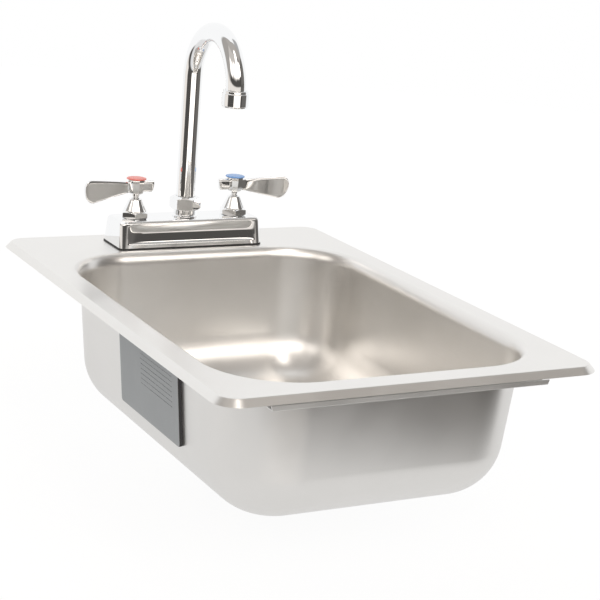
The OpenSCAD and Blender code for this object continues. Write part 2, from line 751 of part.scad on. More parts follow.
// Swivel spout: a bent tube whose thick lower end turns in the spigot under the nut
arch_r = spout_reach / 2;
arch_z = deck_z + spout_rise;
aerator_z = arch_z - outlet_drop;
aerator_seat = aerator_len / 2;
drop_z = aerator_z + aerator_seat;
bore_r = tube_r - tube_wall;
insert_bore_r = 6.2;
ring_wire_r = 0.85;
groove_h = 1.9;
groove_r = tube_r - 2 * ring_wire_r - fixed_fit;
groove_shares = [0.15, 0.42];
spout_washer_t = 0.8;
split_ring_t = 1;
split_ring_z = spigot_top + spout_washer_t + slack;
split_groove_r = tube_r - 0.9;
nut_low = 7;
nut_h = 12.5;
nut_z = body_top + nut_low;
nut_roof_z = split_ring_z + split_ring_t + slack;
nut_turn = 35.5;
taper = 1.2;
function groove_z(share) = insert_z + share * (spigot_top - insert_z);
function groove(share) = [
    [tube_r, groove_z(share)], [groove_r, groove_z(share)],
    [groove_r, groove_z(share) + groove_h], [tube_r, groove_z(share) + groove_h]];

module spout_tube() {
    insert_top = nut_roof_z + 2 * taper;
    color([0.85, 0.86, 0.87]) at_faucet(0, 0) {
        rotate_extrude() polygon(concat(
            [[insert_bore_r, insert_z], [tube_r, insert_z]], [for (share = groove_shares) each groove(share)],
            [[tube_r, split_ring_z - fixed_fit], [split_groove_r, split_ring_z - fixed_fit],
                [split_groove_r, split_ring_z + split_ring_t + fixed_fit],
                [tube_r, split_ring_z + split_ring_t + fixed_fit],
                [tube_r, arch_z], [bore_r, arch_z], [bore_r, insert_top + taper], [insert_bore_r, insert_top]]));
        translate([0, -arch_r, arch_z]) rotate([90, 0, 90]) rotate_extrude(angle = 180)
            translate([arch_r, 0, 0]) difference() {
                circle(r = tube_r);
                circle(r = bore_r);
            }
        translate([0, -spout_reach, drop_z]) washer(tube_r, bore_r, arch_z - drop_z);
    }
}
module spout_o_rings() {
    for (share = groove_shares) color([0.08, 0.08, 0.08]) at_faucet(0, groove_z(share) + groove_h / 2)
        rotate_extrude() translate([groove_r + ring_wire_r + fixed_fit / 2, 0, 0]) circle(r = ring_wire_r);
}
module spout_washer() {
    color([0.9, 0.9, 0.88]) at_faucet(0, spigot_top) washer(spigot_r - fixed_fit, tube_r + slack, spout_washer_t);
}
module spout_split_ring() {
    gap = 3;
    color([0.78, 0.63, 0.35]) at_faucet(0, split_ring_z) difference() {
        washer(spigot_r - fixed_fit, split_groove_r + fixed_fit, split_ring_t);
        translate([0, -gap / 2, -overrun]) cube([spigot_r, gap, split_ring_t + 2 * overrun]);
    }
}
module spout_nut() {
    chamfer_h = nut_h / 4;
    color([0.85, 0.86, 0.87]) at_faucet(0, nut_z) difference() {
        rotate(nut_turn) intersection() {
            hex_bar(nut_flats, nut_h);
            rotate_extrude() polygon([[0, 0], [nut_flats, 0], [nut_flats * 0.6, nut_h - chamfer_h],
                [nut_flats * 0.42, nut_h], [0, nut_h]]);
        }
        translate([0, 0, -overrun]) cylinder(r = spigot_r + fixed_fit, h = nut_roof_z - nut_z + overrun);
        cylinder(r = tube_r + slack / 2, h = nut_h + overrun);
    }
}

// Aerator on the spout's outlet
aerator_lip = 0.8;
aerator_cavity_r = tube_r + 1;
aerator_mouth_r = tube_r - 0.4;
aerator_washer_t = 1.5;
insert_hole_r = 0.9;
insert_rows = 3;
module aerator_housing() {
    color([0.85, 0.86, 0.87]) translate([0, faucet_y - spout_reach, aerator_z]) rotate_extrude() polygon([
        [aerator_mouth_r, 0], [aerator_r - aerator_lip, 0], [aerator_r, aerator_lip],
        [aerator_r, aerator_len - aerator_lip], [aerator_r - aerator_lip, aerator_len],
        [tube_r + fixed_fit, aerator_len], [tube_r + fixed_fit, aerator_seat], [aerator_cavity_r, aerator_seat],
        [aerator_cavity_r, aerator_lip], [aerator_mouth_r, aerator_lip]]);
}
module aerator_washer() {
    color([0.15, 0.15, 0.15]) translate([0, faucet_y - spout_reach, drop_z - aerator_washer_t])
        washer(aerator_cavity_r - fixed_fit, bore_r, aerator_washer_t);
}
module aerator_insert() {
    h = aerator_seat - aerator_lip - aerator_washer_t;
    row_step = (aerator_mouth_r - insert_hole_r) / (insert_rows + 0.5);
    color([0.9, 0.9, 0.9]) translate([0, faucet_y - spout_reach, aerator_z + aerator_lip]) difference() {
        cylinder(r = aerator_cavity_r - fixed_fit, h = h);
        translate([0, 0, -overrun]) cylinder(r = insert_hole_r, h = h + 2 * overrun);
        for (row = [1:insert_rows], i = [0:6 * row - 1]) rotate(60 * i / row)
            translate([row * row_step, 0, -overrun]) cylinder(r = insert_hole_r, h = h + 2 * overrun);
    }
}

sink_shell();
front_rail();
back_rail();
left_sound_pad();
right_sound_pad();
drain_sealing_ring();
strainer_body();
drain_gasket();
drain_friction_ring();
drain_locknut();
strainer_basket();
basket_stopper();
basket_post();
faucet_body();
faucet_gasket();
hot_shank();
cold_shank();
shank_washers();
shank_locknuts();
hot_cartridge();
cold_cartridge();
seat_washers();
hot_fixed_disc();
cold_fixed_disc();
hot_moving_disc();
cold_moving_disc();
hot_stem();
cold_stem();
hot_bonnet();
cold_bonnet();
hot_handle();
cold_handle();
hot_handle_screw();
cold_handle_screw();
hot_index_button();
cold_index_button();
spout_tube();
spout_o_rings();
spout_washer();
spout_split_ring();
spout_nut();
aerator_housing();
aerator_washer();
aerator_insert();
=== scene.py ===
import json
from math import atan2, copysign, cos, pi, radians, sin, sqrt, tan

import bmesh
import bpy
from mathutils import Matrix, Vector


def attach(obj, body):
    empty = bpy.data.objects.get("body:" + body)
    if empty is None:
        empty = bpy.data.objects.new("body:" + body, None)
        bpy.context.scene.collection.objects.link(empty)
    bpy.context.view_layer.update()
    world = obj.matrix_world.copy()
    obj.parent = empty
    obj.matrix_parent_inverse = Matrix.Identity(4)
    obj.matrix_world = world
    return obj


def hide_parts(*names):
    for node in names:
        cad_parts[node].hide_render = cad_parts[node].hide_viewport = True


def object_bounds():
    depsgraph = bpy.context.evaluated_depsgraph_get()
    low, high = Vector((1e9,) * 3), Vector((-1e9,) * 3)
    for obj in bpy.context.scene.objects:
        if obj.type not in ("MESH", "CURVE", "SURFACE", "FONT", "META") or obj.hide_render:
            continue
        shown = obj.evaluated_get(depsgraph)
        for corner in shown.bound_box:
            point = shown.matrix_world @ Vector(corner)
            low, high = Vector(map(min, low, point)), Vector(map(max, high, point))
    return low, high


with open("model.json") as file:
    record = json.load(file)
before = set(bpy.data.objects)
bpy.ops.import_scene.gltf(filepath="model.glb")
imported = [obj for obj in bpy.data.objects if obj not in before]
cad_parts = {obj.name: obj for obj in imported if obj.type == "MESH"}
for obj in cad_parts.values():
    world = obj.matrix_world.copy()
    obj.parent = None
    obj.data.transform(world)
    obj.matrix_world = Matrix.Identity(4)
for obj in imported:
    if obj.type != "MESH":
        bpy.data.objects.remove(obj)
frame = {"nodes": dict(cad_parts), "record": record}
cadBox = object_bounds()
record = frame["record"]
cadNodes = frame["nodes"]
print("frame loaded:", len(cadNodes), "nodes")

mm = 0.001  # sizes below are in millimetres, meshes in metres
roundSides = 96  # of most turned pieces


def newObject(name, data):
    made = bpy.data.objects.new(name, data)
    bpy.context.scene.collection.objects.link(made)
    return made


# Camera, where the photo was taken from

camera = {
    "azimuth": -29.057, "elevation": 15.137, "roll": 4.603,
    "place": (-647.09, -1206.77, 374.21), "lens": 99.83, "sensor": 36.0, "clip": (0.05, 50.0),
}


def makeCamera():
    az, el, roll = (radians(camera[k]) for k in ("azimuth", "elevation", "roll"))
    back = Vector((sin(az) * cos(el), -cos(az) * cos(el), sin(el)))
    right = (-back).cross(Vector((0, 0, 1))).normalized()
    up = right.cross(-back)
    side = cos(roll) * right + sin(roll) * up
    head = cos(roll) * up - sin(roll) * right
    data = bpy.data.cameras.new("camera")
    data.sensor_width = camera["sensor"]
    data.lens = camera["lens"]
    data.clip_start, data.clip_end = camera["clip"]
    bpy.context.scene.camera = newObject("camera", data)
    turned = Matrix((side, head, back)).transposed().to_4x4()
    bpy.context.scene.camera.matrix_world = Matrix.Translation(Vector(camera["place"]) * mm) @ turned


makeCamera()
bpy.context.scene.view_settings.view_transform = "Standard"
print("camera placed")


# Node helpers, for shaders and Geometry Nodes alike; addNode gives the new node's outputs

def addNode(tree, kind, inputs=(), **settings):
    node = tree.nodes.new(kind)
    for key, value in settings.items():
        setattr(node, key, value)
    for key, value in dict(inputs).items():
        if isinstance(value, bpy.types.NodeSocket):
            tree.links.new(value, node.inputs[key])
        else:
            node.inputs[key].default_value = value
    return node.outputs


def maths(tree, operation, a, b=0.0):
    return addNode(tree, "ShaderNodeMath", {0: a, 1: b}, operation=operation)[0]


def smoothStep(tree, value, low, high, start=0.0, end=1.0):
    inputs = {0: value, 1: low, 2: high, 3: start, 4: end}
    return addNode(tree, "ShaderNodeMapRange", inputs, interpolation_type="SMOOTHSTEP")[0]


def within(tree, value, low, high, soft):
    rise = smoothStep(tree, value, low - soft, low + soft)
    fall = smoothStep(tree, value, high - soft, high + soft, 1.0, 0.0)
    return maths(tree, "MULTIPLY", rise, fall)


def mixLevel(tree, share, first, second):
    return addNode(tree, "ShaderNodeMix", {0: share, 2: first, 3: second})[0]


def mixColour(tree, share, *colours):  # each colour is a socket or three numbers
    first, second = (c if isinstance(c, bpy.types.NodeSocket) else (*c, 1) for c in colours)
    return addNode(tree, "ShaderNodeMix", {0: share, 6: first, 7: second}, data_type="RGBA")[2]


def objectPlace(tree):
    return addNode(tree, "ShaderNodeTexCoord")["Object"]


# Studio: a white sweep behind and beside the sink, and a dim room with bright panels in front

studio = {
    "sweep": (1.0, 1.0, 1.0), "sweepLevel": 1.0, "room": (1.0, 0.94, 0.88), "roomLevel": 0.08,
    "roomWide": (-97.0, 108.0), "roomSoft": 5.0,
    # panels, laid over one another: azimuths from the camera to its right, elevations, level, soft edge
    "panels": (
        (-97.0, 112.0, 52.0, 91.0, 0.45, 6.0), (-97.0, -62.0, 2.0, 60.0, 0.40, 6.0),
        (-62.0, 12.0, 14.0, 60.0, 0.60, 3.0), (64.0, 142.0, 36.0, 66.0, 0.42, 4.0),
        (66.0, 106.0, 4.0, 40.0, 0.17, 4.0), (-57.0, -33.0, 13.0, 34.0, 1.7, 3.0),
        (62.0, 106.0, -24.0, 2.0, 0.15, 5.0), (-62.0, 58.0, -6.0, 3.0, 0.85, 1.5),
        (12.0, 42.0, 40.0, 70.0, 2.7, 3.0), (-25.0, 46.0, 19.0, 40.0, 2.4, 5.0),
        (46.0, 62.0, 21.0, 44.0, 3.2, 3.0), (-8.0, 46.0, -19.0, -5.0, 1.9, 3.0),
        (-97.0, -62.0, -20.0, 2.0, 0.9, 3.0)),
}


def makeStudio():
    world = bpy.data.worlds.new("studio")
    bpy.context.scene.world = world
    world.use_nodes = True
    tree = world.node_tree
    tree.nodes.clear()
    inDegrees = 180 / pi
    way = addNode(tree, "ShaderNodeSeparateXYZ", {0: addNode(tree, "ShaderNodeTexCoord")["Generated"]})
    turn = maths(tree, "ARCTAN2", way["X"], maths(tree, "MULTIPLY", way["Y"], -1.0))
    turn = maths(tree, "SUBTRACT", maths(tree, "MULTIPLY", turn, inDegrees), camera["azimuth"])
    turn = addNode(tree, "ShaderNodeMath", {0: turn, 1: 180.0, 2: -180.0}, operation="WRAP")[0]
    rise = maths(tree, "MULTIPLY", maths(tree, "ARCSINE", way["Z"]), inDegrees)
    front = within(tree, turn, *studio["roomWide"], studio["roomSoft"])
    level = mixLevel(tree, front, studio["sweepLevel"], studio["roomLevel"])
    for left, right, low, high, glow, soft in studio["panels"]:
        mask = maths(tree, "MULTIPLY", within(tree, turn, left, right, soft), within(tree, rise, low, high, soft))
        level = mixLevel(tree, mask, level, glow)
    lit = mixColour(tree, front, studio["sweep"], studio["room"])
    light = addNode(tree, "ShaderNodeBackground", {"Color": lit, "Strength": level})
    plain = addNode(tree, "ShaderNodeBackground", {"Color": (*studio["sweep"], 1), "Strength": 1.0})
    seen = addNode(tree, "ShaderNodeLightPath")["Is Camera Ray"]
    mix = addNode(tree, "ShaderNodeMixShader", {0: seen, 1: light[0], 2: plain[0]})
    addNode(tree, "ShaderNodeOutputWorld", {0: mix[0]})


floorLook = {
    "drop": 0.4, "white": 0.9, "glowShare": 0.88, "glow": 1.04, "glowAside": 0.80,
    # in metres: the floor, and the edge of the part of it that the metal reflects
    "radius": 2.6, "edgeY": -0.43, "edgeSlope": 0.45, "reach": 0.62, "edgeSoft": 0.09,
}


def makeFloor():
    look = floorLook
    mesh = bpy.data.meshes.new("floor")
    build = bmesh.new()
    bmesh.ops.create_circle(build, cap_ends=True, segments=roundSides, radius=look["radius"])
    bmesh.ops.translate(build, verts=build.verts, vec=(0, 0, cadBox[0].z - look["drop"] * mm))
    build.to_mesh(mesh)
    build.free()
    floor = newObject("floor", mesh)
    material = bpy.data.materials.new("studioFloor")
    material.use_nodes = True
    tree = material.node_tree
    tree.nodes.clear()
    paper = addNode(tree, "ShaderNodeBsdfDiffuse", {"Color": (look["white"],) * 3 + (1,)})
    seen = addNode(tree, "ShaderNodeLightPath")["Is Camera Ray"]
    strength = mixLevel(tree, seen, look["glowAside"], look["glow"])
    glow = addNode(tree, "ShaderNodeEmission", {"Color": (1, 1, 1, 1), "Strength": strength})
    lit = addNode(tree, "ShaderNodeMixShader", {0: look["glowShare"], 1: paper[0], 2: glow[0]})
    spot = addNode(tree, "ShaderNodeSeparateXYZ", {0: objectPlace(tree)})
    aside = maths(tree, "MULTIPLY", maths(tree, "MAXIMUM", spot["X"], 0.0), look["edgeSlope"])
    depth = maths(tree, "SUBTRACT", maths(tree, "SUBTRACT", spot["Y"], look["edgeY"]), aside)
    square = [maths(tree, "MULTIPLY", spot[axis], spot[axis]) for axis in ("X", "Y")]
    away = maths(tree, "SQRT", maths(tree, "ADD", *square))
    inside = maths(tree, "MINIMUM", depth, maths(tree, "SUBTRACT", look["reach"], away))
    paperMask = smoothStep(tree, inside, -look["edgeSoft"], look["edgeSoft"])
    below = addNode(tree, "ShaderNodeNewGeometry")["Backfacing"]  # the floor is clear from there
    shown = maths(tree, "MAXIMUM", paperMask, seen)
    shown = maths(tree, "MULTIPLY", shown, maths(tree, "SUBTRACT", 1.0, below))
    clear = addNode(tree, "ShaderNodeBsdfTransparent")
    out = addNode(tree, "ShaderNodeMixShader", {0: shown, 1: clear[0], 2: lit[0]})
    addNode(tree, "ShaderNodeOutputMaterial", {0: out[0]})
    mesh.materials.append(material)


makeStudio()
makeFloor()
print("studio and floor made")


# Shared surface effects

surface = {
    "grainNoise": {"Detail": 4.0, "Roughness": 0.6}, "patchNoise": {"Detail": 3.0, "Roughness": 0.5},
    "speckleNoise": {"Detail": 5.0}, "patchScale": 18.0, "patchEdges": (0.35, 0.65),
    # the last value: faces turned less than this along X get the painted edge shade of the sound pad
    "bumpDeep": 0.4, "cutFacing": 0.6,
}


def effectGroup(name, inputs, outputs):
    group = bpy.data.node_groups.new(name, "ShaderNodeTree")
    for way, labels in (("INPUT", inputs), ("OUTPUT", outputs)):
        for label in labels:
            group.interface.new_socket(label, in_out=way, socket_type="NodeSocketFloat")
    return group, group.nodes.new("NodeGroupInput").outputs, group.nodes.new("NodeGroupOutput").inputs


def noise(group, point, scale, kind):
    return addNode(group, "ShaderNodeTexNoise", {"Vector": point, "Scale": scale, **surface[kind]})[0]


def makeGrain():  # fine lines left by a brush or a belt, along Y
    group, given, out = effectGroup("grain", ("Scale", "Stretch"), ("Height", "Mask"))
    apart = addNode(group, "ShaderNodeSeparateXYZ", {0: objectPlace(group)})
    along = maths(group, "MULTIPLY", apart["Y"], given["Stretch"])
    point = addNode(group, "ShaderNodeCombineXYZ", {0: apart["X"], 1: along, 2: apart["Z"]})[0]
    lines = noise(group, point, given["Scale"], "grainNoise")
    group.links.new(lines, out["Height"])
    group.links.new(lines, out["Mask"])
    return group


def makeHandling():  # faint patches where hands and cloths have been
    group, given, out = effectGroup("handling", ("Scale", "Low", "High"), ("Value", "Mask"))
    patches = noise(group, objectPlace(group), given["Scale"], "patchNoise")
    mask = smoothStep(group, patches, *surface["patchEdges"])
    value = addNode(group, "ShaderNodeMapRange", {0: mask, 3: given["Low"], 4: given["High"]})
    group.links.new(value[0], out["Value"])
    group.links.new(mask, out["Mask"])
    return group


def makeSpeckle():  # small pits and grains of rubber, fibre or cast metal
    group, given, out = effectGroup("speckle", ("Scale",), ("Height", "Mask"))
    here = objectPlace(group)
    cells = addNode(group, "ShaderNodeTexVoronoi", {"Vector": here, "Scale": given["Scale"]})[0]
    clouds = noise(group, here, given["Scale"], "speckleNoise")
    group.links.new(maths(group, "MULTIPLY", cells, clouds), out["Height"])
    group.links.new(clouds, out["Mask"])
    return group


grain, handling, speckle = makeGrain(), makeHandling(), makeSpeckle()


# Finishes, one for each material slot: roughness clean and handled, grain's scale and share along Y

finishes = {
    "satin_steel": {"colour": (0.825, 0.812, 0.79), "worn": (0.865, 0.853, 0.835), "metal": 1.0,
        "rough": (0.28, 0.32), "grain": (1600.0, 0.02), "bump": 0.05},
    "rail_steel": {"colour": (0.84, 0.84, 0.83), "worn": (0.88, 0.88, 0.87), "metal": 1.0,
        "rough": (0.42, 0.50), "grain": (900.0, 1.0), "bump": 0.04},
    "strainer_steel": {"colour": (0.80, 0.80, 0.79), "worn": (0.86, 0.86, 0.85), "metal": 1.0,
        "rough": (0.16, 0.24), "grain": (1800.0, 1.0), "bump": 0.03},
    "screw_steel": {"colour": (0.68, 0.68, 0.68), "worn": (0.75, 0.75, 0.74), "metal": 1.0,
        "rough": (0.25, 0.35), "grain": (2000.0, 1.0), "bump": 0.04},
    "chrome_plate": {"colour": (0.93, 0.935, 0.94), "worn": (0.90, 0.905, 0.91), "metal": 1.0,
        "rough": (0.025, 0.05), "grain": (2500.0, 1.0), "bump": 0.0},
    "brass": {"colour": (0.74, 0.56, 0.29), "worn": (0.80, 0.64, 0.36), "metal": 1.0,
        "rough": (0.22, 0.34), "grain": (1800.0, 1.0), "bump": 0.04},
    "cast_zinc": {"colour": (0.60, 0.60, 0.59), "worn": (0.68, 0.68, 0.67), "metal": 1.0,
        "rough": (0.38, 0.50), "speckle": 900.0, "bump": 0.15},
    # the sound pad's cut colour is painted shade, laid on the pad's edges as if they stood in shadow
    "sound_pad": {"colour": (0.35, 0.37, 0.385), "worn": (0.41, 0.43, 0.445),
        "rough": (0.60, 0.75), "speckle": 700.0, "bump": 0.2, "cut": (0.04, 0.04, 0.042)},
    "black_rubber": {"colour": (0.018, 0.018, 0.019), "worn": (0.035, 0.035, 0.036),
        "rough": (0.45, 0.6), "speckle": 1500.0, "bump": 0.12},
    "fibre": {"colour": (0.36, 0.27, 0.16), "worn": (0.46, 0.36, 0.23),
        "rough": (0.75, 0.9), "speckle": 1200.0, "bump": 0.3},
    "ceramic": {"colour": (0.84, 0.82, 0.75), "worn": (0.88, 0.86, 0.80),
        "rough": (0.10, 0.16), "speckle": 2500.0, "bump": 0.02},
    "nylon": {"colour": (0.80, 0.80, 0.76), "worn": (0.85, 0.85, 0.82),
        "rough": (0.35, 0.45), "speckle": 2000.0, "bump": 0.04},
    "red_plastic": {"colour": (0.88, 0.20, 0.16), "worn": (0.92, 0.26, 0.21),
        "rough": (0.20, 0.30), "speckle": 2200.0, "bump": 0.03},
    "blue_plastic": {"colour": (0.16, 0.36, 0.75), "worn": (0.22, 0.42, 0.80),
        "rough": (0.20, 0.30), "speckle": 2200.0, "bump": 0.03},
}


def effect(tree, group, values):
    node = tree.nodes.new("ShaderNodeGroup")
    node.node_tree = group
    for label, value in values.items():
        node.inputs[label].default_value = value
    return node.outputs


def makeFinish(name, look):
    material = bpy.data.materials.new(name)
    material.use_nodes = True
    tree = material.node_tree
    shader = tree.nodes["Principled BSDF"]
    shader.inputs["Metallic"].default_value = look.get("metal", 0.0)
    low, high = look["rough"]
    touched = effect(tree, handling, {"Scale": surface["patchScale"], "Low": low, "High": high})
    tree.links.new(touched["Value"], shader.inputs["Roughness"])
    if "grain" in look:
        scale, stretch = look["grain"]
        fine = effect(tree, grain, {"Scale": scale, "Stretch": stretch})
    else:
        fine = effect(tree, speckle, {"Scale": look["speckle"]})
    cover = mixColour(tree, maths(tree, "MULTIPLY", fine["Mask"], touched["Mask"]), look["colour"], look["worn"])
    if "cut" in look:  # painted shade: the pad's edges, which don't face along X, are painted near-black as if they stood in shadow
        normal = addNode(tree, "ShaderNodeTexCoord")["Normal"]
        across = addNode(tree, "ShaderNodeSeparateXYZ", {0: normal})["X"]
        face = maths(tree, "GREATER_THAN", maths(tree, "ABSOLUTE", across), surface["cutFacing"])
        cover = mixColour(tree, face, look["cut"], cover)
    tree.links.new(cover, shader.inputs["Base Color"])
    if look["bump"]:
        bump = addNode(tree, "ShaderNodeBump", {
            "Strength": look["bump"], "Distance": surface["bumpDeep"] * mm, "Height": fine["Height"]})
        tree.links.new(bump[0], shader.inputs["Normal"])
    return material


materials = {name: makeFinish(name, look) for name, look in finishes.items()}
print("finishes made:", len(materials))


# Mesh helpers

def roundedRect(hx, hy, r, cy, steps):
    return [
        (sx * (hx - r) + r * cos(a), cy + sy * (hy - r) + r * sin(a))
        for sx, sy, start in ((1, 1, 0), (-1, 1, 90), (-1, -1, 180), (1, -1, 270))
        for a in (radians(start + 90 * i / steps) for i in range(steps + 1))
    ]


def rectRing(hx, hy, r, z, cy, steps):
    return [(x, y, z) for x, y in roundedRect(hx, hy, r, cy, steps)]


def circleRing(centre, r, z, sides):
    turns = (2 * pi * k / sides for k in range(sides))
    return [(centre[0] + r * cos(a), centre[1] + r * sin(a), z) for a in turns]


def filleted(corners, closed=True, steps=5):  # (a, b, radius) corners made into a rounded outline
    outline = []
    last = len(corners) - 1
    for i, (a, b, r) in enumerate(corners):
        if r <= 0 or (not closed and i in (0, last)):
            outline.append((a, b))
            continue
        here = Vector((a, b))
        back = Vector(corners[i - 1][:2]) - here
        ahead = Vector(corners[(i + 1) % (last + 1)][:2]) - here
        reach = min(r / tan(back.angle(ahead) / 2), back.length * 0.49, ahead.length * 0.49)
        start, end = here + back.normalized() * reach, here + ahead.normalized() * reach
        for k in range(steps + 1):
            t = k / steps
            outline.append(tuple(start * (1 - t) ** 2 + here * (2 * t * (1 - t)) + end * t * t))
    return outline


def meshObject(name, build):
    bmesh.ops.remove_doubles(build, verts=build.verts, dist=1e-7)
    bmesh.ops.recalc_face_normals(build, faces=build.faces)
    mesh = bpy.data.meshes.new(name)
    build.to_mesh(mesh)
    build.free()
    return newObject(name, mesh)


def addRings(build, rings, closed=False, capStart=False, capEnd=False):
    loops = [[build.verts.new([c * mm for c in p]) for p in ring] for ring in rings]
    count = len(loops[0])
    following = loops[1:] + loops[:1] if closed else loops[1:]
    for low, high in zip(loops, following):
        for k in range(count):
            m = (k + 1) % count
            build.faces.new((low[k], low[m], high[m], high[k]))
    if capStart:
        build.faces.new(loops[0])
    if capEnd:
        build.faces.new(loops[-1])


def ringPiece(name, rings, **ends):
    build = bmesh.new()
    addRings(build, rings, **ends)
    return meshObject(name, build)


def addTurned(build, outline, centre, sides=roundSides, closed=True):
    addRings(build, [circleRing(centre, r, z, sides) for r, z in outline], closed=closed)


def lathe(name, outline, centres, **ends):
    build = bmesh.new()
    for centre in centres:
        addTurned(build, outline, centre, **ends)
    return meshObject(name, build)


def replaceMesh(piece):  # its modifiers applied
    graph = bpy.context.evaluated_depsgraph_get()
    piece.data = bpy.data.meshes.new_from_object(piece.evaluated_get(graph), depsgraph=graph)
    piece.modifiers.clear()


def settle(piece, body, slot, replaced=(), sharp=32.0, bevel=0.0):
    mesh = piece.data
    mesh.materials.clear()
    mesh.materials.append(materials[slot])
    mesh.shade_smooth()
    mesh.set_sharp_from_angle(angle=radians(sharp))
    if bevel:
        soften = piece.modifiers.new("soften", "BEVEL")
        soften.width, soften.segments = bevel * mm, 3
        soften.limit_method, soften.angle_limit = "ANGLE", radians(sharp)
    even = piece.modifiers.new("even", "WEIGHTED_NORMAL")
    even.keep_sharp = True
    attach(piece, body)
    if replaced:
        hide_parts(*replaced)


def turnedPiece(name, outline, centres, body, slot, node, **ends):
    settle(lathe(name, outline, centres, **ends), body, slot, (node,))


# Geometry Nodes for what repeats; each tree takes a Material and ends in realised instances

repeats = {"threadSteps": 56, "crestSides": 6, "punchSides": 20, "punchDeep": 6.0, "ribSides": 8}


def geometryTree(name, inputs):
    tree = bpy.data.node_groups.new(name, "GeometryNodeTree")
    tree.interface.new_socket("Geometry", in_out="OUTPUT", socket_type="NodeSocketGeometry")
    for label, kind in {**inputs, "Material": "Material"}.items():
        tree.interface.new_socket(label, in_out="INPUT", socket_type="NodeSocket" + kind)
    return tree, tree.nodes.new("NodeGroupInput").outputs


def endTree(tree, given, geometry):
    real = addNode(tree, "GeometryNodeRealizeInstances", {0: geometry})
    painted = addNode(tree, "GeometryNodeSetMaterial", {0: real[0], "Material": given["Material"]})
    tree.links.new(painted[0], tree.nodes.new("NodeGroupOutput").inputs[0])
    return tree


def applyTree(piece, tree, slot, values):
    modifier = piece.modifiers.new(tree.name, "NODES")
    modifier.node_group = tree
    sockets = {item.name: item.identifier for item in tree.interface.items_tree if item.in_out == "INPUT"}
    for label, value in {**values, "Material": materials[slot]}.items():
        modifier[sockets[label]] = value
    replaceMesh(piece)


def copies(tree, points, shape, **turn):
    return addNode(tree, "GeometryNodeInstanceOnPoints", {0: points, "Instance": shape, **turn})[0]


def moved(tree, geometry, place):
    return addNode(tree, "GeometryNodeTransform", {0: geometry, "Translation": place})[0]


def swept(tree, path, sides, radius):
    section = addNode(tree, "GeometryNodeCurvePrimitiveCircle", {"Resolution": sides, "Radius": radius})[0]
    return addNode(tree, "GeometryNodeCurveToMesh", {0: path, 1: section, "Fill Caps": True})[0]


def joined(tree, *parts):
    both = tree.nodes.new("GeometryNodeJoinGeometry")
    for part in parts:
        tree.links.new(part, both.inputs[0])
    return both.outputs[0]


def makeThreadTree():
    tree, given = geometryTree("thread", {
        "Radius": "Float", "Pitch": "Float", "Depth": "Float", "Length": "Float", "Place": "Vector"})
    root = maths(tree, "SUBTRACT", given["Radius"], given["Depth"])
    turns = maths(tree, "DIVIDE", given["Length"], given["Pitch"])
    spiral = addNode(tree, "GeometryNodeCurveSpiral", {
        "Resolution": repeats["threadSteps"], "Rotations": turns, "Start Radius": root, "End Radius": root,
        "Height": given["Length"]})[0]
    ridge = swept(tree, spiral, repeats["crestSides"], given["Depth"])
    return endTree(tree, given, moved(tree, ridge, given["Place"]))


def makeLugTree():
    tree, given = geometryTree("lugs", {
        "Geometry": "Geometry", "Count": "Int", "Radius": "Float", "Size": "Vector", "Place": "Vector"})
    spots = addNode(tree, "GeometryNodeMeshCircle", {"Vertices": given["Count"], "Radius": given["Radius"]})[0]
    lug = addNode(tree, "GeometryNodeMeshCube", {"Size": given["Size"]})[0]
    outward = addNode(tree, "GeometryNodeInputPosition")[0]
    facing = addNode(tree, "FunctionNodeAlignRotationToVector", {"Vector": outward}, axis="X")[0]
    lugs = moved(tree, copies(tree, spots, lug, Rotation=facing), given["Place"])
    return endTree(tree, given, joined(tree, given["Geometry"], lugs))


def makeHoleTree():
    tree, given = geometryTree("holes", {
        "Geometry": "Geometry", "Count": "Int", "Row radius": "Float", "Hole radius": "Float", "Place": "Vector"})
    spots = addNode(tree, "GeometryNodeMeshCircle", {
        "Vertices": given["Count"], "Radius": given["Row radius"]})[0]
    punch = addNode(tree, "GeometryNodeMeshCylinder", {
        "Vertices": repeats["punchSides"], "Radius": given["Hole radius"], "Depth": repeats["punchDeep"] * mm})[0]
    punches = addNode(tree, "GeometryNodeRealizeInstances", {
        0: moved(tree, copies(tree, spots, punch), given["Place"])})[0]
    cut = addNode(tree, "GeometryNodeMeshBoolean", {
        0: given["Geometry"], 1: punches}, operation="DIFFERENCE", solver="EXACT")[0]
    return endTree(tree, given, cut)


def makeRibTree():
    tree, given = geometryTree("ribs", {
        "Geometry": "Geometry", "Count": "Int", "First": "Vector", "Step": "Vector", "Reach": "Vector",
        "Radius": "Float"})
    row = addNode(tree, "GeometryNodeMeshLine", {
        "Count": given["Count"], "Start Location": given["First"], "Offset": given["Step"]})[0]
    line = addNode(tree, "GeometryNodeCurvePrimitiveLine", {"End": given["Reach"]})[0]
    rib = swept(tree, line, repeats["ribSides"], given["Radius"])
    return endTree(tree, given, joined(tree, given["Geometry"], copies(tree, row, rib)))


threadTree, lugTree, holeTree, ribTree = makeThreadTree(), makeLugTree(), makeHoleTree(), makeRibTree()


def threadPiece(name, slot, radius, pitch, depth, low, high, centre):
    piece = newObject(name, bpy.data.meshes.new(name))
    applyTree(piece, threadTree, slot, {
        "Radius": radius * mm, "Pitch": pitch * mm, "Depth": depth * mm, "Length": (high - low - 2 * depth) * mm,
        "Place": (centre[0] * mm, centre[1] * mm, (low + depth) * mm)})
    settle(piece, "root", slot, sharp=50)


# Sink shell: one pressed sheet, rim, rolled edge, bowl and drain recess

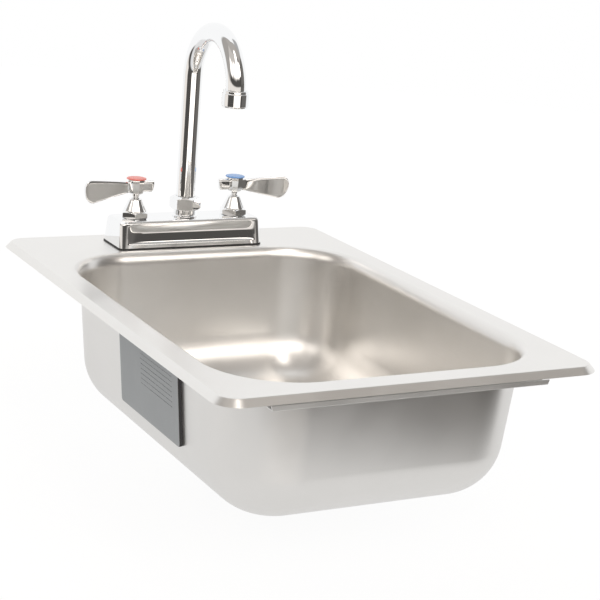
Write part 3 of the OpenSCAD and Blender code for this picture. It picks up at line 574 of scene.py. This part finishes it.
sink = {
    "rimWidth": 330.2, "rimDepth": 482.6, "rimHeight": 5.4, "slope": 5.0, "rimCorner": 20.0, "rimEdge": 1.8,
    "sheet": 1.0, "bowlSide": 30.7, "bowlFront": 31.1, "deckDepth": 82.1, "bowlDeep": 127.0, "draft": 5.35,
    "roll": 8.0, "rollDepth": 14.0, "rollLead": 3.0, "floorCorner": 7.4, "filletShare": 0.628, "floorFall": 3.0,
    "recessRadius": 58.0, "recessDepth": 3.5, "recessLip": 1.5, "drainHole": 44.5,
    "deckHole": 13.5, "valveX": 50.8, "faucetY": 196.1,
    "cornerSteps": 28, "rollSteps": 18, "filletSteps": 24, "floorSteps": 10,
}
bowlY = (sink["bowlFront"] - sink["deckDepth"]) / 2
floorZ = sink["rimHeight"] - sink["bowlDeep"]
recessZ = floorZ - sink["recessDepth"]
underZ = recessZ - sink["sheet"]
faucetY, valveX = sink["faucetY"], sink["valveX"]
drain = (0.0, bowlY)
valveSpots = [(-valveX, faucetY), (valveX, faucetY)]


def rollAt(slope):  # how far in and down the rolled edge, a quarter of an ellipse, has this slope
    turn = atan2(sink["roll"] * sin(slope), sink["rollDepth"] * cos(slope))
    return sink["roll"] * sin(turn), sink["rollDepth"] * (1 - cos(turn))


def bowlSkin(side):  # rings from the rolled edge to the drain hole, side below the top skin
    s = sink
    rollEnd = radians(90 - s["draft"])
    startX = s["rimWidth"] / 2 - s["bowlSide"] + s["roll"]
    startY = (s["rimDepth"] - s["bowlFront"] - s["deckDepth"]) / 2 + s["roll"]
    fillet = s["filletShare"] * (s["rimWidth"] / 2 - s["bowlSide"] - s["recessRadius"])
    edgeZ = floorZ + s["floorFall"]
    filletTop = edgeZ + fillet * (1 - cos(rollEnd))
    rollIn, rollDown = rollAt(rollEnd)
    wallRun = rollIn + (s["rimHeight"] - rollDown - filletTop) * tan(radians(s["draft"]))
    cornerR = s["floorCorner"] + wallRun + fillet * sin(rollEnd)
    steps = s["cornerSteps"]

    def ring(inset, z, a):
        out = side * sin(a) - inset
        return rectRing(startX + out, startY + out, cornerR + out, z - side * cos(a), bowlY, steps)

    def circle(r, z):
        return rectRing(r, r, r, z - side, bowlY, steps)

    rings = [ring(-s["rollLead"], s["rimHeight"], 0.0)]
    for i in range(s["rollSteps"] + 1):
        a = rollEnd * i / s["rollSteps"]
        inset, down = rollAt(a)
        rings.append(ring(inset, s["rimHeight"] - down, a))
    for i in range(s["filletSteps"] + 1):
        a = rollEnd * (1 - i / s["filletSteps"])
        inset = wallRun + fillet * (sin(rollEnd) - sin(a))
        rings.append(ring(inset, edgeZ + fillet * (1 - cos(a)), a))
    recessR, halfStep = s["recessRadius"], s["recessDepth"] / 2
    edge, lip = rings[-1], circle(recessR + halfStep + s["recessLip"], floorZ)
    for i in range(1, s["floorSteps"]):
        t = i / s["floorSteps"]
        ease = t * t * (3 - 2 * t)
        rings.append([
            (p[0] * (1 - t) + q[0] * t, p[1] * (1 - t) + q[1] * t, p[2] * (1 - ease) + q[2] * ease)
            for p, q in zip(edge, lip)])
    step = filleted([
        (recessR + 6, floorZ, 0), (recessR + halfStep, floorZ, 2.0), (recessR, recessZ, 1.2),
        (recessR - 4, recessZ, 0)], closed=False)
    return rings + [circle(r, z) for r, z in step] + [circle(s["drainHole"], recessZ)]


def rimSkin(side):
    s = sink
    lean = atan2(s["rimHeight"], s["slope"])
    foot = side / sin(lean)
    shoulder = side * tan(lean / 2)
    topZ = s["rimHeight"] - side
    outline = filleted([
        (foot, 0, 0), (s["slope"] + shoulder, topZ, max(s["rimEdge"] - side, 0.5)), (s["slope"] + 6, topZ, 0)],
        closed=False, steps=6)
    halfX, halfY = s["rimWidth"] / 2, s["rimDepth"] / 2
    return [rectRing(halfX - i, halfY - i, s["rimCorner"] - i, z, 0, s["cornerSteps"]) for i, z in outline]


def makeSinkShell():
    top = rimSkin(0) + bowlSkin(0)
    under = rimSkin(sink["sheet"]) + bowlSkin(sink["sheet"])
    shell = ringPiece("sinkShell", top + under[::-1], closed=True)
    punch = [(0, -5), (sink["deckHole"], -5), (sink["deckHole"], 15), (0, 15)]
    holes = lathe("deckHoles", punch, valveSpots, closed=False)
    cut = shell.modifiers.new("cut", "BOOLEAN")
    cut.object, cut.solver = holes, "EXACT"
    replaceMesh(shell)
    bpy.data.objects.remove(holes)
    settle(shell, "root", "satin_steel", ("sink_shell",), sharp=28)


rail = {"edge": 0.35, "sharp": 30.0, "flat": 0.5}


def makeRail(node):  # the CAD node's own shape, its facets merged and its edges rounded
    build = bmesh.new()
    build.from_mesh(cadNodes[node].data)
    bmesh.ops.remove_doubles(build, verts=build.verts, dist=1e-6)
    flat = radians(rail["flat"])
    bmesh.ops.dissolve_limit(build, angle_limit=flat, verts=build.verts, edges=build.edges)
    settle(meshObject(node + "_soft", build), "root", "rail_steel", (node,), rail["sharp"], rail["edge"])


makeSinkShell()
makeRail("front_rail")
makeRail("back_rail")
print("sink shell and rails made")


# Sound pads, with a few plain raised ribs

pad = {
    "length": 119.0, "height": 72.0, "thick": 3.0, "corner": 3.0, "edge": 0.7, "ahead": 21.5, "drop": 8.0,
    "fit": 0.1, "ribs": 7, "ribStep": 4.2, "ribReach": 62.0, "ribRadius": 0.28, "ribFrom": (17.0, 12.0, -0.05),
}


def makeSoundPad(word, side):
    p = pad
    draft = radians(sink["draft"])
    rollIn, rollDown = rollAt(radians(90) - draft)
    wallX = sink["rimWidth"] / 2 - sink["bowlSide"] + sink["roll"] - rollIn
    wallX += (sink["sheet"] + p["fit"]) / cos(draft) - (sink["rimHeight"] - rollDown + p["drop"]) * tan(draft)
    halfX, halfY = p["height"] / 2, p["length"] / 2
    outline = filleted([(0, 0, 0), (0, p["thick"], p["edge"]), (6, p["thick"], 0)], closed=False, steps=5)[:-1]
    rings = [rectRing(halfX - i, halfY - i, max(p["corner"] - i, 0.2), z, 0, 6) for i, z in outline]
    piece = ringPiece(word + "SoundPad", rings, capStart=True, capEnd=True)
    first = [(at + more) * mm for at, more in zip((-halfX, -halfY, p["thick"]), p["ribFrom"])]
    applyTree(piece, ribTree, "sound_pad", {
        "Count": p["ribs"], "First": first, "Step": (p["ribStep"] * mm, 0, 0), "Reach": (0, p["ribReach"] * mm, 0),
        "Radius": p["ribRadius"] * mm})
    move = Matrix.Translation(Vector((wallX, bowlY - p["ahead"], -p["drop"])) * mm)
    move = move @ Matrix.Rotation(draft, 4, "Y") @ Matrix.Rotation(radians(90), 4, "Y")
    move = move @ Matrix.Translation((halfX * mm, 0, 0))
    piece.data.transform(Matrix.Scale(-1, 4, (1, 0, 0)) @ move if side < 0 else move)
    if side < 0:
        piece.data.flip_normals()
    settle(piece, "root", "sound_pad", (word + "_sound_pad",))


makeSoundPad("left", -1)
makeSoundPad("right", 1)
print("sound pads made")


# Drain: strainer, seals, locknut, basket

strainer = {
    "flangeR": 56.0, "flangeT": 1.5, "sealT": 1.0, "cupR": 42.5, "wall": 3.0, "cupH": 27.4, "floorT": 2.5,
    "shoulder": 6.0, "outletR": 23.8, "outletWall": 4.0, "outletLen": 15.5,
    "spiderR": 6.0, "spiderBar": 3.0, "spiderH": 4.0, "spiderBars": 4, "postR": 2.5, "postFit": 0.1,
    "cupPitch": 2.3, "outletPitch": 2.2, "threadDepth": 0.75,
}
strainerTop = recessZ + strainer["sealT"] + strainer["flangeT"]
cupFloorZ = strainerTop - strainer["cupH"]
cupUnderZ = cupFloorZ - strainer["floorT"]
outletZ = cupUnderZ - strainer["outletLen"]


def makeStrainer():
    s = strainer
    cupIn, outIn = s["cupR"] - s["wall"], s["outletR"] - s["outletWall"]
    cupRoot, outRoot = s["cupR"] - s["threadDepth"], s["outletR"] - s["threadDepth"]
    flangeR, flangeT = s["flangeR"], s["flangeT"]
    flangeZ, shoulderZ = strainerTop - flangeT, cupUnderZ + s["shoulder"]
    outline = filleted([
        (outIn, outletZ, 0.5), (outRoot, outletZ, 0.6), (outRoot, cupUnderZ, 0.8),
        (cupRoot - s["shoulder"], cupUnderZ, 2.5), (cupRoot, shoulderZ, 2.5), (cupRoot, flangeZ, 0.3),
        (flangeR, flangeZ, 0.3), (flangeR, strainerTop - flangeT / 2, 0.4), (cupIn + flangeT, strainerTop, 1.5),
        (cupIn, flangeZ, 1.2), (cupIn, cupFloorZ, 3.0), (outIn, cupFloorZ, 1.0)])
    build = bmesh.new()
    addTurned(build, outline, drain, 128)
    low, high = cupUnderZ - s["spiderH"], cupUnderZ
    hubIn, hubOut = s["postR"] + s["postFit"], s["spiderR"]
    hub = filleted([(hubIn, low, 0.3), (hubOut, low, 0.5), (hubOut, high, 0.5), (hubIn, high, 0.3)])
    addTurned(build, hub, drain, 48)
    half = s["spiderBar"] / 2
    bar = filleted([(-half, low, 0.5), (half, low, 0.5), (half, high, 0.5), (-half, high, 0.5)])
    for turn in range(s["spiderBars"]):
        spin = Matrix.Rotation(radians(360 * turn / s["spiderBars"]), 3, "Z")
        rings = [
            [tuple(spin @ Vector((x, y, z)) + Vector((0, bowlY, 0))) for y, z in bar]
            for x in (hubOut - 0.6, outIn + 0.5)]
        addRings(build, rings, capStart=True, capEnd=True)
    settle(meshObject("strainerBody", build), "root", "strainer_steel", ("strainer_body",))
    threads = (("strainer", s["cupR"], s["cupPitch"], shoulderZ, underZ),
               ("outlet", s["outletR"], s["outletPitch"], outletZ, cupUnderZ - 0.4))
    for word, radius, pitch, start, end in threads:
        threadPiece(word + "Thread", "strainer_steel", radius, pitch, s["threadDepth"], start, end, drain)


makeStrainer()

clamp = {
    "gasketT": 3.0, "frictionT": 1.0, "nutH": 11.0, "nutR": 56.0, "fit": 0.1,
    "lugs": 6, "lugWide": 9.0, "lugReach": 2.5, "lugDeep": 6.0, "lugShort": 0.6,
}


def ringOutline(outer, inner, low, high, soft):
    return filleted([(inner, low, soft), (outer, low, soft), (outer, high, soft), (inner, high, soft)])


def makeClamp():
    c, cupR = clamp, strainer["cupR"]
    outer, inner = c["nutR"], cupR + c["fit"]
    seal = ringOutline(strainer["flangeR"] - 1, cupR + 1, recessZ, recessZ + strainer["sealT"], 0.3)
    turnedPiece("drainSeal", seal, [drain], "root", "black_rubber", "drain_sealing_ring")
    z = underZ - c["gasketT"]
    gasket = ringOutline(outer, inner, z, underZ, 0.7)
    turnedPiece("drainGasket", gasket, [drain], "root", "black_rubber", "drain_gasket")
    z -= c["frictionT"]
    washer = ringOutline(outer, inner, z, z + c["frictionT"], 0.25)
    turnedPiece("drainFrictionRing", washer, [drain], "root", "fibre", "drain_friction_ring")
    z -= c["nutH"]
    nut = lathe("drainLocknut", ringOutline(outer - c["lugReach"], inner, z, z + c["nutH"], 0.9), [drain])
    applyTree(nut, lugTree, "cast_zinc", {
        "Count": c["lugs"], "Radius": (outer - c["lugDeep"] / 2) * mm,
        "Size": (c["lugDeep"] * mm, c["lugWide"] * mm, (c["nutH"] - c["lugShort"]) * mm),
        "Place": (0, bowlY * mm, (z + c["nutH"] / 2) * mm)})
    settle(nut, "root", "cast_zinc", ("drain_locknut",), bevel=0.5, sharp=40)


makeClamp()

basket = {
    "slack": 0.3, "stopperT": 2.4, "sheet": 0.8, "lowR": 30.0, "rimW": 2.0, "knobR": 6.0, "knobH": 4.0,
    "lift": 12.0, "rows": (0.35, 0.57, 0.8), "firstRow": 8, "holeR": 1.8,
}


def makeBasket():
    b, s = basket, strainer
    postR, outer = s["postR"], s["outletR"]
    bore = postR + s["postFit"]
    rimR = s["cupR"] - s["wall"] - 2 * b["slack"]
    foot = cupFloorZ + b["slack"]
    low = foot + b["stopperT"]
    high = strainerTop - s["flangeT"] - 2 * b["slack"]
    t = b["sheet"]
    outline = filleted([
        (bore, low, 0.1), (b["lowR"], low, 3.0), (rimR - b["rimW"], high - t, 0.6), (rimR, high - t, 0.3),
        (rimR, high, 0.3), (rimR - b["rimW"] - t, high, 0.9), (b["lowR"] - t, low + t, 2.4), (bore, low + t, 0.1)])
    piece = lathe("strainerBasket", outline, [drain])
    for row, share in enumerate(b["rows"]):
        applyTree(piece, holeTree, "strainer_steel", {
            "Count": int(b["firstRow"] * (1 + row / 2)), "Row radius": share * b["lowR"] * mm,
            "Hole radius": b["holeR"] * mm, "Place": (0, bowlY * mm, low * mm)})
    settle(piece, "basket", "strainer_steel", ("strainer_basket",))
    seat = low - 0.02
    stopper = filleted([(bore, foot, 0.2), (outer, foot, 1.0), (outer, seat, 0.4), (bore, seat, 0.2)])
    turnedPiece("basketStopper", stopper, [drain], "basket", "black_rubber", "basket_stopper")
    tail = cupFloorZ - (s["floorT"] + b["lift"] + postR)
    collarR, knobR, knobTop = 2 * postR, b["knobR"], strainerTop + b["knobH"]
    post = filleted([
        (0, tail, 0), (postR, tail, 0.8), (postR, low + t, 0.2), (collarR, low + t, 0.2),
        (collarR, low + 2 * t, 0.3), (postR, low + 2 * t, 0.5), (postR, strainerTop, 0.8),
        (knobR - 1.4, strainerTop, 0.6), (knobR, strainerTop + b["knobH"] * 0.55, 1.2), (knobR - 1.2, knobTop, 1.0),
        (0, knobTop, 0)], closed=False)
    turnedPiece("basketPost", post, [drain], "basket", "strainer_steel", "basket_post", sides=64, closed=False)


makeBasket()
print("drain made")


# Faucet body: a chromed casting with a scooped front that runs out into two end pillars

faucet = {
    "length": 145.2, "topLength": 143.2, "depth": 45.0, "topDepth": 38.0, "height": 24.1, "edge": 2.0, "lip": 3.5,
    "corner": 5.0, "scoopFlat": 36.0, "scoopEnd": 64.5, "scoopCurve": (2.5, 0.8), "gasket": 1.5, "overhang": 0.6,
    # how far the scoop leans back, in degrees, at shares of its height
    "leans": ((0.0, 80.0), (0.05, 62.0), (0.1, 17.0), (0.48, 14.0), (0.62, 0.0), (1.0, -20.0)),
    "spigotR": 10.4, "spigotH": 15.0, "columns": 150, "backColumns": 24, "cornerSteps": 8, "scoopSteps": 40,
}
bodyZ = sink["rimHeight"] + faucet["gasket"]
bodyTop = bodyZ + faucet["height"]


def scoopShare(x):
    t = (abs(x) - faucet["scoopFlat"]) / (faucet["scoopEnd"] - faucet["scoopFlat"])
    inner, outer = faucet["scoopCurve"]
    return 1.0 if t <= 0 else max(0.0, 1 - t ** inner) ** outer


def scoopRun(low, high):  # the scoop's middle line, from its lip up
    steps, run = faucet["scoopSteps"], [0.0]
    leans = faucet["leans"]
    for i in range(steps):
        u = (i + 0.5) / steps
        (u0, e0), (u1, e1) = next(pair for pair in zip(leans, leans[1:]) if u <= pair[1][0])
        run.append(run[-1] + tan(radians(e0 + (e1 - e0) * (u - u0) / (u1 - u0))))
    fit = (high[0] - low[0]) / run[-1]
    return [(low[0] + r * fit, low[1] + (high[1] - low[1]) * i / steps) for i, r in enumerate(run)]


def bodyProfile():  # (y, z) up the middle of the front
    f = faucet
    edge, height = f["edge"], f["height"]
    top, lip = (-f["topDepth"] / 2, height - edge), (-f["depth"] / 2, f["lip"])
    scoop = [(y, z, 0) for y, z in scoopRun(lip, top)[1:-2]]
    crown = [(*top, 0.7), (top[0] + edge, height, 2.4), (top[0] + 3 * edge, height, 0)]
    return filleted([(lip[0], 0, 0), (*lip, 0.8)] + scoop + crown, closed=False, steps=6)


def bodyRing(midY, z):
    f = faucet
    shoulder = f["height"] - f["edge"]
    share = min(z / shoulder, 1.0)
    over = max(midY + f["topDepth"] / 2, 0.0) if z > shoulder - 0.5 else 0.0
    hx = f["length"] / 2 + (f["topLength"] - f["length"]) / 2 * share - over
    hy = f["depth"] / 2 + (f["topDepth"] - f["depth"]) / 2 * share - over
    reach, columns, backColumns, points = hx - f["corner"], f["columns"], f["backColumns"], f["cornerSteps"] + 1
    outline = roundedRect(hx, hy, f["corner"], 0, f["cornerSteps"])
    corners = [outline[k * points:(k + 1) * points] for k in range(4)]
    back = [(reach - (2 * hx - 2 * f["corner"]) * i / backColumns, hy) for i in range(1, backColumns)]
    across = [-reach + 2 * reach * i / columns for i in range(1, columns)]
    front = [(x, -hy + (midY + hy) * scoopShare(x)) for x in across]
    flat = corners[0] + back + corners[1] + corners[2] + front + corners[3]
    return [(x, y + faucetY, z + bodyZ) for x, y in flat]


def makeFaucetBody():
    f = faucet
    build = bmesh.new()
    addRings(build, [bodyRing(midY, z) for midY, z in bodyProfile()], capStart=True, capEnd=True)
    spigotR, collarR, spigotTop = f["spigotR"], f["spigotR"] + 1.6, bodyTop + f["spigotH"]
    collar = filleted([
        (0, bodyTop - 3, 0), (collarR, bodyTop - 3, 0), (collarR, bodyTop + 0.9, 0.5), (spigotR, bodyTop + 2.0, 0.9),
        (spigotR, spigotTop, 0.6), (0, spigotTop, 0)], closed=False)
    addTurned(build, collar, (0, faucetY), closed=False)
    settle(meshObject("faucetBody", build), "root", "chrome_plate", ("faucet_body",), sharp=40)

    w, d = f["length"] / 2 + f["overhang"], f["depth"] / 2 + f["overhang"]
    rings = [
        [(x, y + faucetY, sink["rimHeight"] + z)
         for x, y in roundedRect(w - i, d - i, f["corner"] + f["overhang"] - i, 0, 10)]
        for i, z in [(0.0, 0.0), (0.0, 0.9), (0.15, 1.25), (0.5, f["gasket"])]]
    gasket = ringPiece("faucetGasket", rings, capStart=True, capEnd=True)
    settle(gasket, "root", "black_rubber", ("faucet_gasket",))


makeFaucetBody()


# Nuts with chamfered ends

def nutRings(centre, flats, turn, low, high, bore, topRound=0.95, lowRound=0.97):
    slope = tan(radians(60))
    inner = flats / 2
    rings = [[] for _ in range(6)]
    for k in range(roundSides):
        a = radians(360 * k / roundSides)
        hexR = inner / cos((a % radians(60)) - radians(30))
        topZ = high - (hexR - inner * topRound) / slope
        lowZ = low + (hexR - inner * lowRound) / slope
        spots = [
            (bore, low), (inner * lowRound, low), (hexR, lowZ), (hexR, topZ), (inner * topRound, high), (bore, high)]
        b = a + radians(turn)
        for ring, (r, z) in zip(rings, spots):
            ring.append((centre[0] + r * cos(b), centre[1] + r * sin(b), z))
    return rings


valve = {
    "flats": 23.0, "hexH": 6.5, "bonnetH": 18.0, "coneLow": 10.9, "coneTop": 6.2, "turn": {"hot": 9.0, "cold": 15.0},
    "stemR": 3.6, "stemNeck": 0.7, "bore": 7.8, "fit": 0.1, "hubGap": 5.0, "grip": 8.0,
    "shankR": 10.3, "shankWall": 3.3, "shankLen": 46.0, "shankPitch": 1.8, "threadDepth": 0.6,
    "washerR": 16.5, "washerT": 2.0, "nutFlats": 28.0, "nutH": 8.0,
}
hubZ = bodyTop + valve["bonnetH"] + valve["hubGap"]


def makeValveSide(word, centre):
    v = valve
    build = bmesh.new()
    nut = nutRings(centre, v["flats"], v["turn"][word], bodyTop, bodyTop + v["hexH"], v["bore"])
    addRings(build, nut, closed=True)
    foot = bodyTop + v["hexH"] - 0.6
    top = bodyTop + v["bonnetH"]
    seatR = v["stemR"] + v["fit"]
    cone = filleted([
        (v["bore"], foot, 0), (v["coneLow"], foot, 0.2), (v["coneLow"], foot + 1.4, 0.6),
        (v["coneTop"], top - 0.9, 0.5), (v["coneTop"], top, 0.4), (seatR, top, 0.3), (seatR, top - 4, 0.2),
        (v["bore"], top - 6.7, 0)])
    addTurned(build, cone, centre)
    settle(meshObject(word + "Bonnet", build), "root", "chrome_plate", (word + "_bonnet",), sharp=28, bevel=0.18)
    stemR, neckR, stemTop = v["stemR"] - v["fit"], v["stemR"] - v["stemNeck"], hubZ + v["grip"]
    stem = filleted([
        (0, bodyTop, 0), (stemR, bodyTop, 0.2), (stemR, top + 1.2, 0.1), (neckR, top + 1.5, 0.2),
        (neckR, top + 2.3, 0.2), (stemR, top + 2.6, 0.1), (stemR, stemTop, 0.4), (0, stemTop, 0)], closed=False)
    turnedPiece(word + "Stem", stem, [centre], word + "_lever", "chrome_plate", word + "_stem", sides=64, closed=False)
    bore, root = v["shankR"] - v["shankWall"], v["shankR"] - v["threadDepth"]
    low, high = sink["rimHeight"] - v["shankLen"], bodyZ + 6
    shank = filleted([(bore, low, 0.5), (root, low, 0.8), (root, high, 0.2), (bore, high, 0.2)])
    turnedPiece(word + "Shank", shank, [centre], "root", "brass", word + "_shank")
    threadPiece(
        word + "ShankThread", "brass", v["shankR"], v["shankPitch"], v["threadDepth"], low + 1.0, high, centre)


def makeShankFittings():
    v = valve
    under = sink["rimHeight"] - sink["sheet"]
    bore, nutTop = v["shankR"] + v["fit"], under - v["washerT"]
    washer = ringOutline(v["washerR"], bore, nutTop, under, 0.5)
    turnedPiece("shankWashers", washer, valveSpots, "root", "black_rubber", "shank_washers")
    build = bmesh.new()
    for spot in valveSpots:
        addRings(build, nutRings(spot, v["nutFlats"], 0, nutTop - v["nutH"], nutTop, bore), closed=True)
    settle(meshObject("shankLocknuts", build), "root", "brass", ("shank_locknuts",), sharp=28, bevel=0.2)


for word, spot in zip(("hot", "cold"), valveSpots):
    makeValveSide(word, spot)
makeShankFittings()
print("faucet body and valves made")


# Lever handles

lever = {
    "hubR": 7.8, "hubH": 13.5, "hubSides": 8, "rootH": 9.0, "rootDrop": 3.0, "rootRun": 9.0, "flare": 0.5,
    # the hub's width, as shares, at heights above its foot
    "hubShape": ((0, 0.78), (0.5, 0.83), (1.2, 0.88), (5, 0.93), (10, 1.0), (12.6, 1.03), (13.2, 1.01), (13.5, 0.96)),
    "length": 53.5, "height": 22.4, "thick": 4.6, "curve": 7.5, "dish": 0.3, "dishEnds": (0.12, 0.3, 0.08),
    "rise": 4.5, "topRound": (0.14, 7.0), "lowRound": (0.2, 12.5),
    "bladeSteps": 48, "bladeSides": 48, "bladePower": 0.34,
    "rootBack": {"hot": 2.6, "cold": -1.2}, "lean": {"hot": -0.05, "cold": -0.04},
    "tailLen": 17.8, "tailH": 11.0, "tailT": 5.0, "tailSteps": 12, "tailRound": (0.88, 0.12), "tailSlant": -0.16,
    "tailSides": 40, "tailPower": 0.42, "buttonR": 9.2, "buttonT": 1.5,
    "button": {"hot": "red_plastic", "cold": "blue_plastic"},
}


def roundOff(u, share, h):
    return 0.0 if u < 1 - share else h * (1 - sqrt(max(0.0, 1 - ((u - 1 + share) / share) ** 2)))


def softSection(s, y, z, ht, hh, sides, power, dish=0.0, slant=0.0, lean=0.0):
    section = []
    for k in range(sides):
        a = 2 * pi * (k + 0.5) / sides
        c, d = cos(a), sin(a)
        across = copysign(abs(c) ** power, c)
        tall = copysign(abs(d) ** power, d)
        hollow = dish * max(0.0, 1 - tall * tall) if across < 0 else 0.0
        section.append((s + slant * hh * tall, y + ht * across + hollow + lean * hh * tall, z + hh * tall))
    return section


def bladeRings(rootBack, lean):
    v = lever
    rootTop, start, steps = v["hubH"] - v["rootDrop"], v["hubR"] / 2, v["bladeSteps"]
    lowDrop = v["height"] - v["rootH"] - v["rise"]
    dishFrom, dishOver, dishEnd = v["dishEnds"]
    rings = []
    for i in range(steps + 1):
        u = sin(pi / 2 * i / steps)
        fall = lowDrop * min(1, u / (1 - v["lowRound"][0]))
        top = rootTop + v["rise"] * u - roundOff(u, *v["topRound"])
        low = rootTop - v["rootH"] - fall + roundOff(u, *v["lowRound"])
        s = start + (v["length"] - start) * u
        near = max(0.0, 1 - (s - start) / v["rootRun"]) ** 2
        dish = v["dish"] * min(1.0, max(0.0, (u - dishFrom) / dishOver)) * min(1.0, (1 - u) / dishEnd)
        rings.append(softSection(
            s, rootBack * near - v["curve"] * u * u, (top + low) / 2, v["thick"] / 2 + v["flare"] * near,
            (top - low) / 2, v["bladeSides"], v["bladePower"], dish=dish, lean=lean))
    return rings


def tailRings():
    v = lever
    middle = v["hubH"] - v["rootDrop"] / 2 - v["tailH"] / 2
    roundFrom, roundOver = v["tailRound"]
    rings = []
    for i in range(v["tailSteps"] + 1):
        t = i / v["tailSteps"]
        s = -v["hubR"] / 2 - (v["tailLen"] - v["hubR"] / 2 - 0.9) * t
        end = sqrt(max(0.0, 1 - max(0.0, (t - roundFrom) / roundOver) ** 2))
        ht, hh = v["tailT"] / 2 * (0.75 + 0.25 * end), v["tailH"] / 2 - 1.2 * (1 - end) - 0.5 * (1 - t)
        rings.append(softSection(s, 0, middle, ht, hh, v["tailSides"], v["tailPower"], slant=v["tailSlant"] * t))
    return rings


def hubRings():
    half = pi / lever["hubSides"]
    turns = [2 * pi * k / roundSides for k in range(roundSides)]
    rings = []
    for z, size in lever["hubShape"]:
        radii = [lever["hubR"] * size * (cos(half) / cos((a % (2 * half)) - half)) for a in turns]
        rings.append([(r * cos(a), r * sin(a), z) for a, r in zip(turns, radii)])
    return rings


def makeLever(word, centre, side):
    v = lever
    x, y = centre
    build = bmesh.new()
    for rings in (hubRings(), bladeRings(v["rootBack"][word], v["lean"][word]), tailRings()):
        placed = [[(x + side * p[0], y + p[1], hubZ + p[2]) for p in ring] for ring in rings]
        addRings(build, placed, capStart=True, capEnd=True)
    settle(meshObject(word + "Handle", build), word + "_lever", "chrome_plate", (word + "_handle",), sharp=33)
    low, r = hubZ + v["hubH"], v["buttonR"]
    button = filleted([
        (0, low - 1.5, 0), (4, low - 1.5, 0.2), (4, low, 0.2), (r, low, 0.3), (r, low + 0.9, 0.6),
        (r - 2.2, low + v["buttonT"] - 0.15, 2.0), (0, low + v["buttonT"], 0)], closed=False)
    turnedPiece(
        word + "IndexButton", button, [centre], word + "_lever", v["button"][word], word + "_index_button",
        closed=False)


for word, spot, side in zip(("hot", "cold"), valveSpots, (-1, 1)):
    makeLever(word, spot, side)
print("handles made")


# Swivel spout, its nut and the aerator

spout = {
    "tubeR": 9.0, "boreR": 8.0, "reach": 92.0, "rise": 158.0, "drop": 13.2, "lowZ": 28.7,
    "sides": 80, "archSteps": 72, "legSteps": 12, "aeratorR": 12.0, "aeratorLen": 15.0,
    "nutFlats": 25.4, "nutTurn": 35.5, "nutLow": 7.0, "nutH": 12.5, "nutFit": 0.12, "nutRounds": (0.86, 0.98),
}
archZ = sink["rimHeight"] + spout["rise"]
aeratorZ = archZ - spout["drop"]
aeratorSpot = (0.0, faucetY - spout["reach"])


def tubeRings(r):
    v = spout
    archR = v["reach"] / 2
    steps = v["legSteps"]
    path = [(faucetY, v["lowZ"] + (archZ - v["lowZ"]) * i / steps, 0.0) for i in range(steps)]
    for i in range(v["archSteps"] + 1):
        a = pi * i / v["archSteps"]
        path.append((faucetY - archR + archR * cos(a), archZ + archR * sin(a), a))
    path.append((faucetY - v["reach"], aeratorZ + v["aeratorLen"] / 2, pi))
    rings = []
    for y, z, a in path:
        turns = (2 * pi * k / v["sides"] for k in range(v["sides"]))
        rings.append([
            (r * cos(t), y + r * sin(t) * cos(a), z + r * sin(t) * sin(a)) for t in turns])
    return rings


def makeSpout():
    v = spout
    tube = ringPiece("spoutTube", tubeRings(v["tubeR"]) + tubeRings(v["boreR"])[::-1], closed=True)
    settle(tube, "spout", "chrome_plate", ("spout_tube",), sharp=40)
    low = bodyTop + v["nutLow"]
    nut = nutRings(
        (0, faucetY), v["nutFlats"], v["nutTurn"], low, low + v["nutH"], v["tubeR"] + v["nutFit"], *v["nutRounds"])
    settle(ringPiece("spoutNut", nut, closed=True), "root", "chrome_plate", ("spout_nut",), sharp=28, bevel=0.2)
    r, z, tubeR = v["aeratorR"], aeratorZ, v["tubeR"]
    top = z + v["aeratorLen"]
    housing = filleted([
        (tubeR - 0.4, z, 0.3), (r - 0.5, z, 0.6), (r - 0.3, z + 1.2, 0.3), (r, z + 1.5, 0.2), (r, top - 3.0, 0.4),
        (r - 0.7, top - 2.4, 0.3), (r - 0.7, top - 0.6, 0.5), (r - 1.3, top, 0.3), (tubeR + 0.1, top, 0.3),
        (tubeR + 0.1, z + v["aeratorLen"] / 2, 0), (tubeR - 0.4, z + 0.8, 0)])
    turnedPiece("aeratorHousing", housing, [aeratorSpot], "spout", "chrome_plate", "aerator_housing")


makeSpout()
print("spout made")


# Every CAD node still showing gets its finish

for part in record["subparts"]:
    node = cadNodes[part["node"]]
    if not node.hide_render:
        node.data.materials.clear()
        node.data.materials.append(materials[part["material_slot"]])
print("finishes laid on", sum(not n.hide_render for n in cadNodes.values()), "CAD nodes")
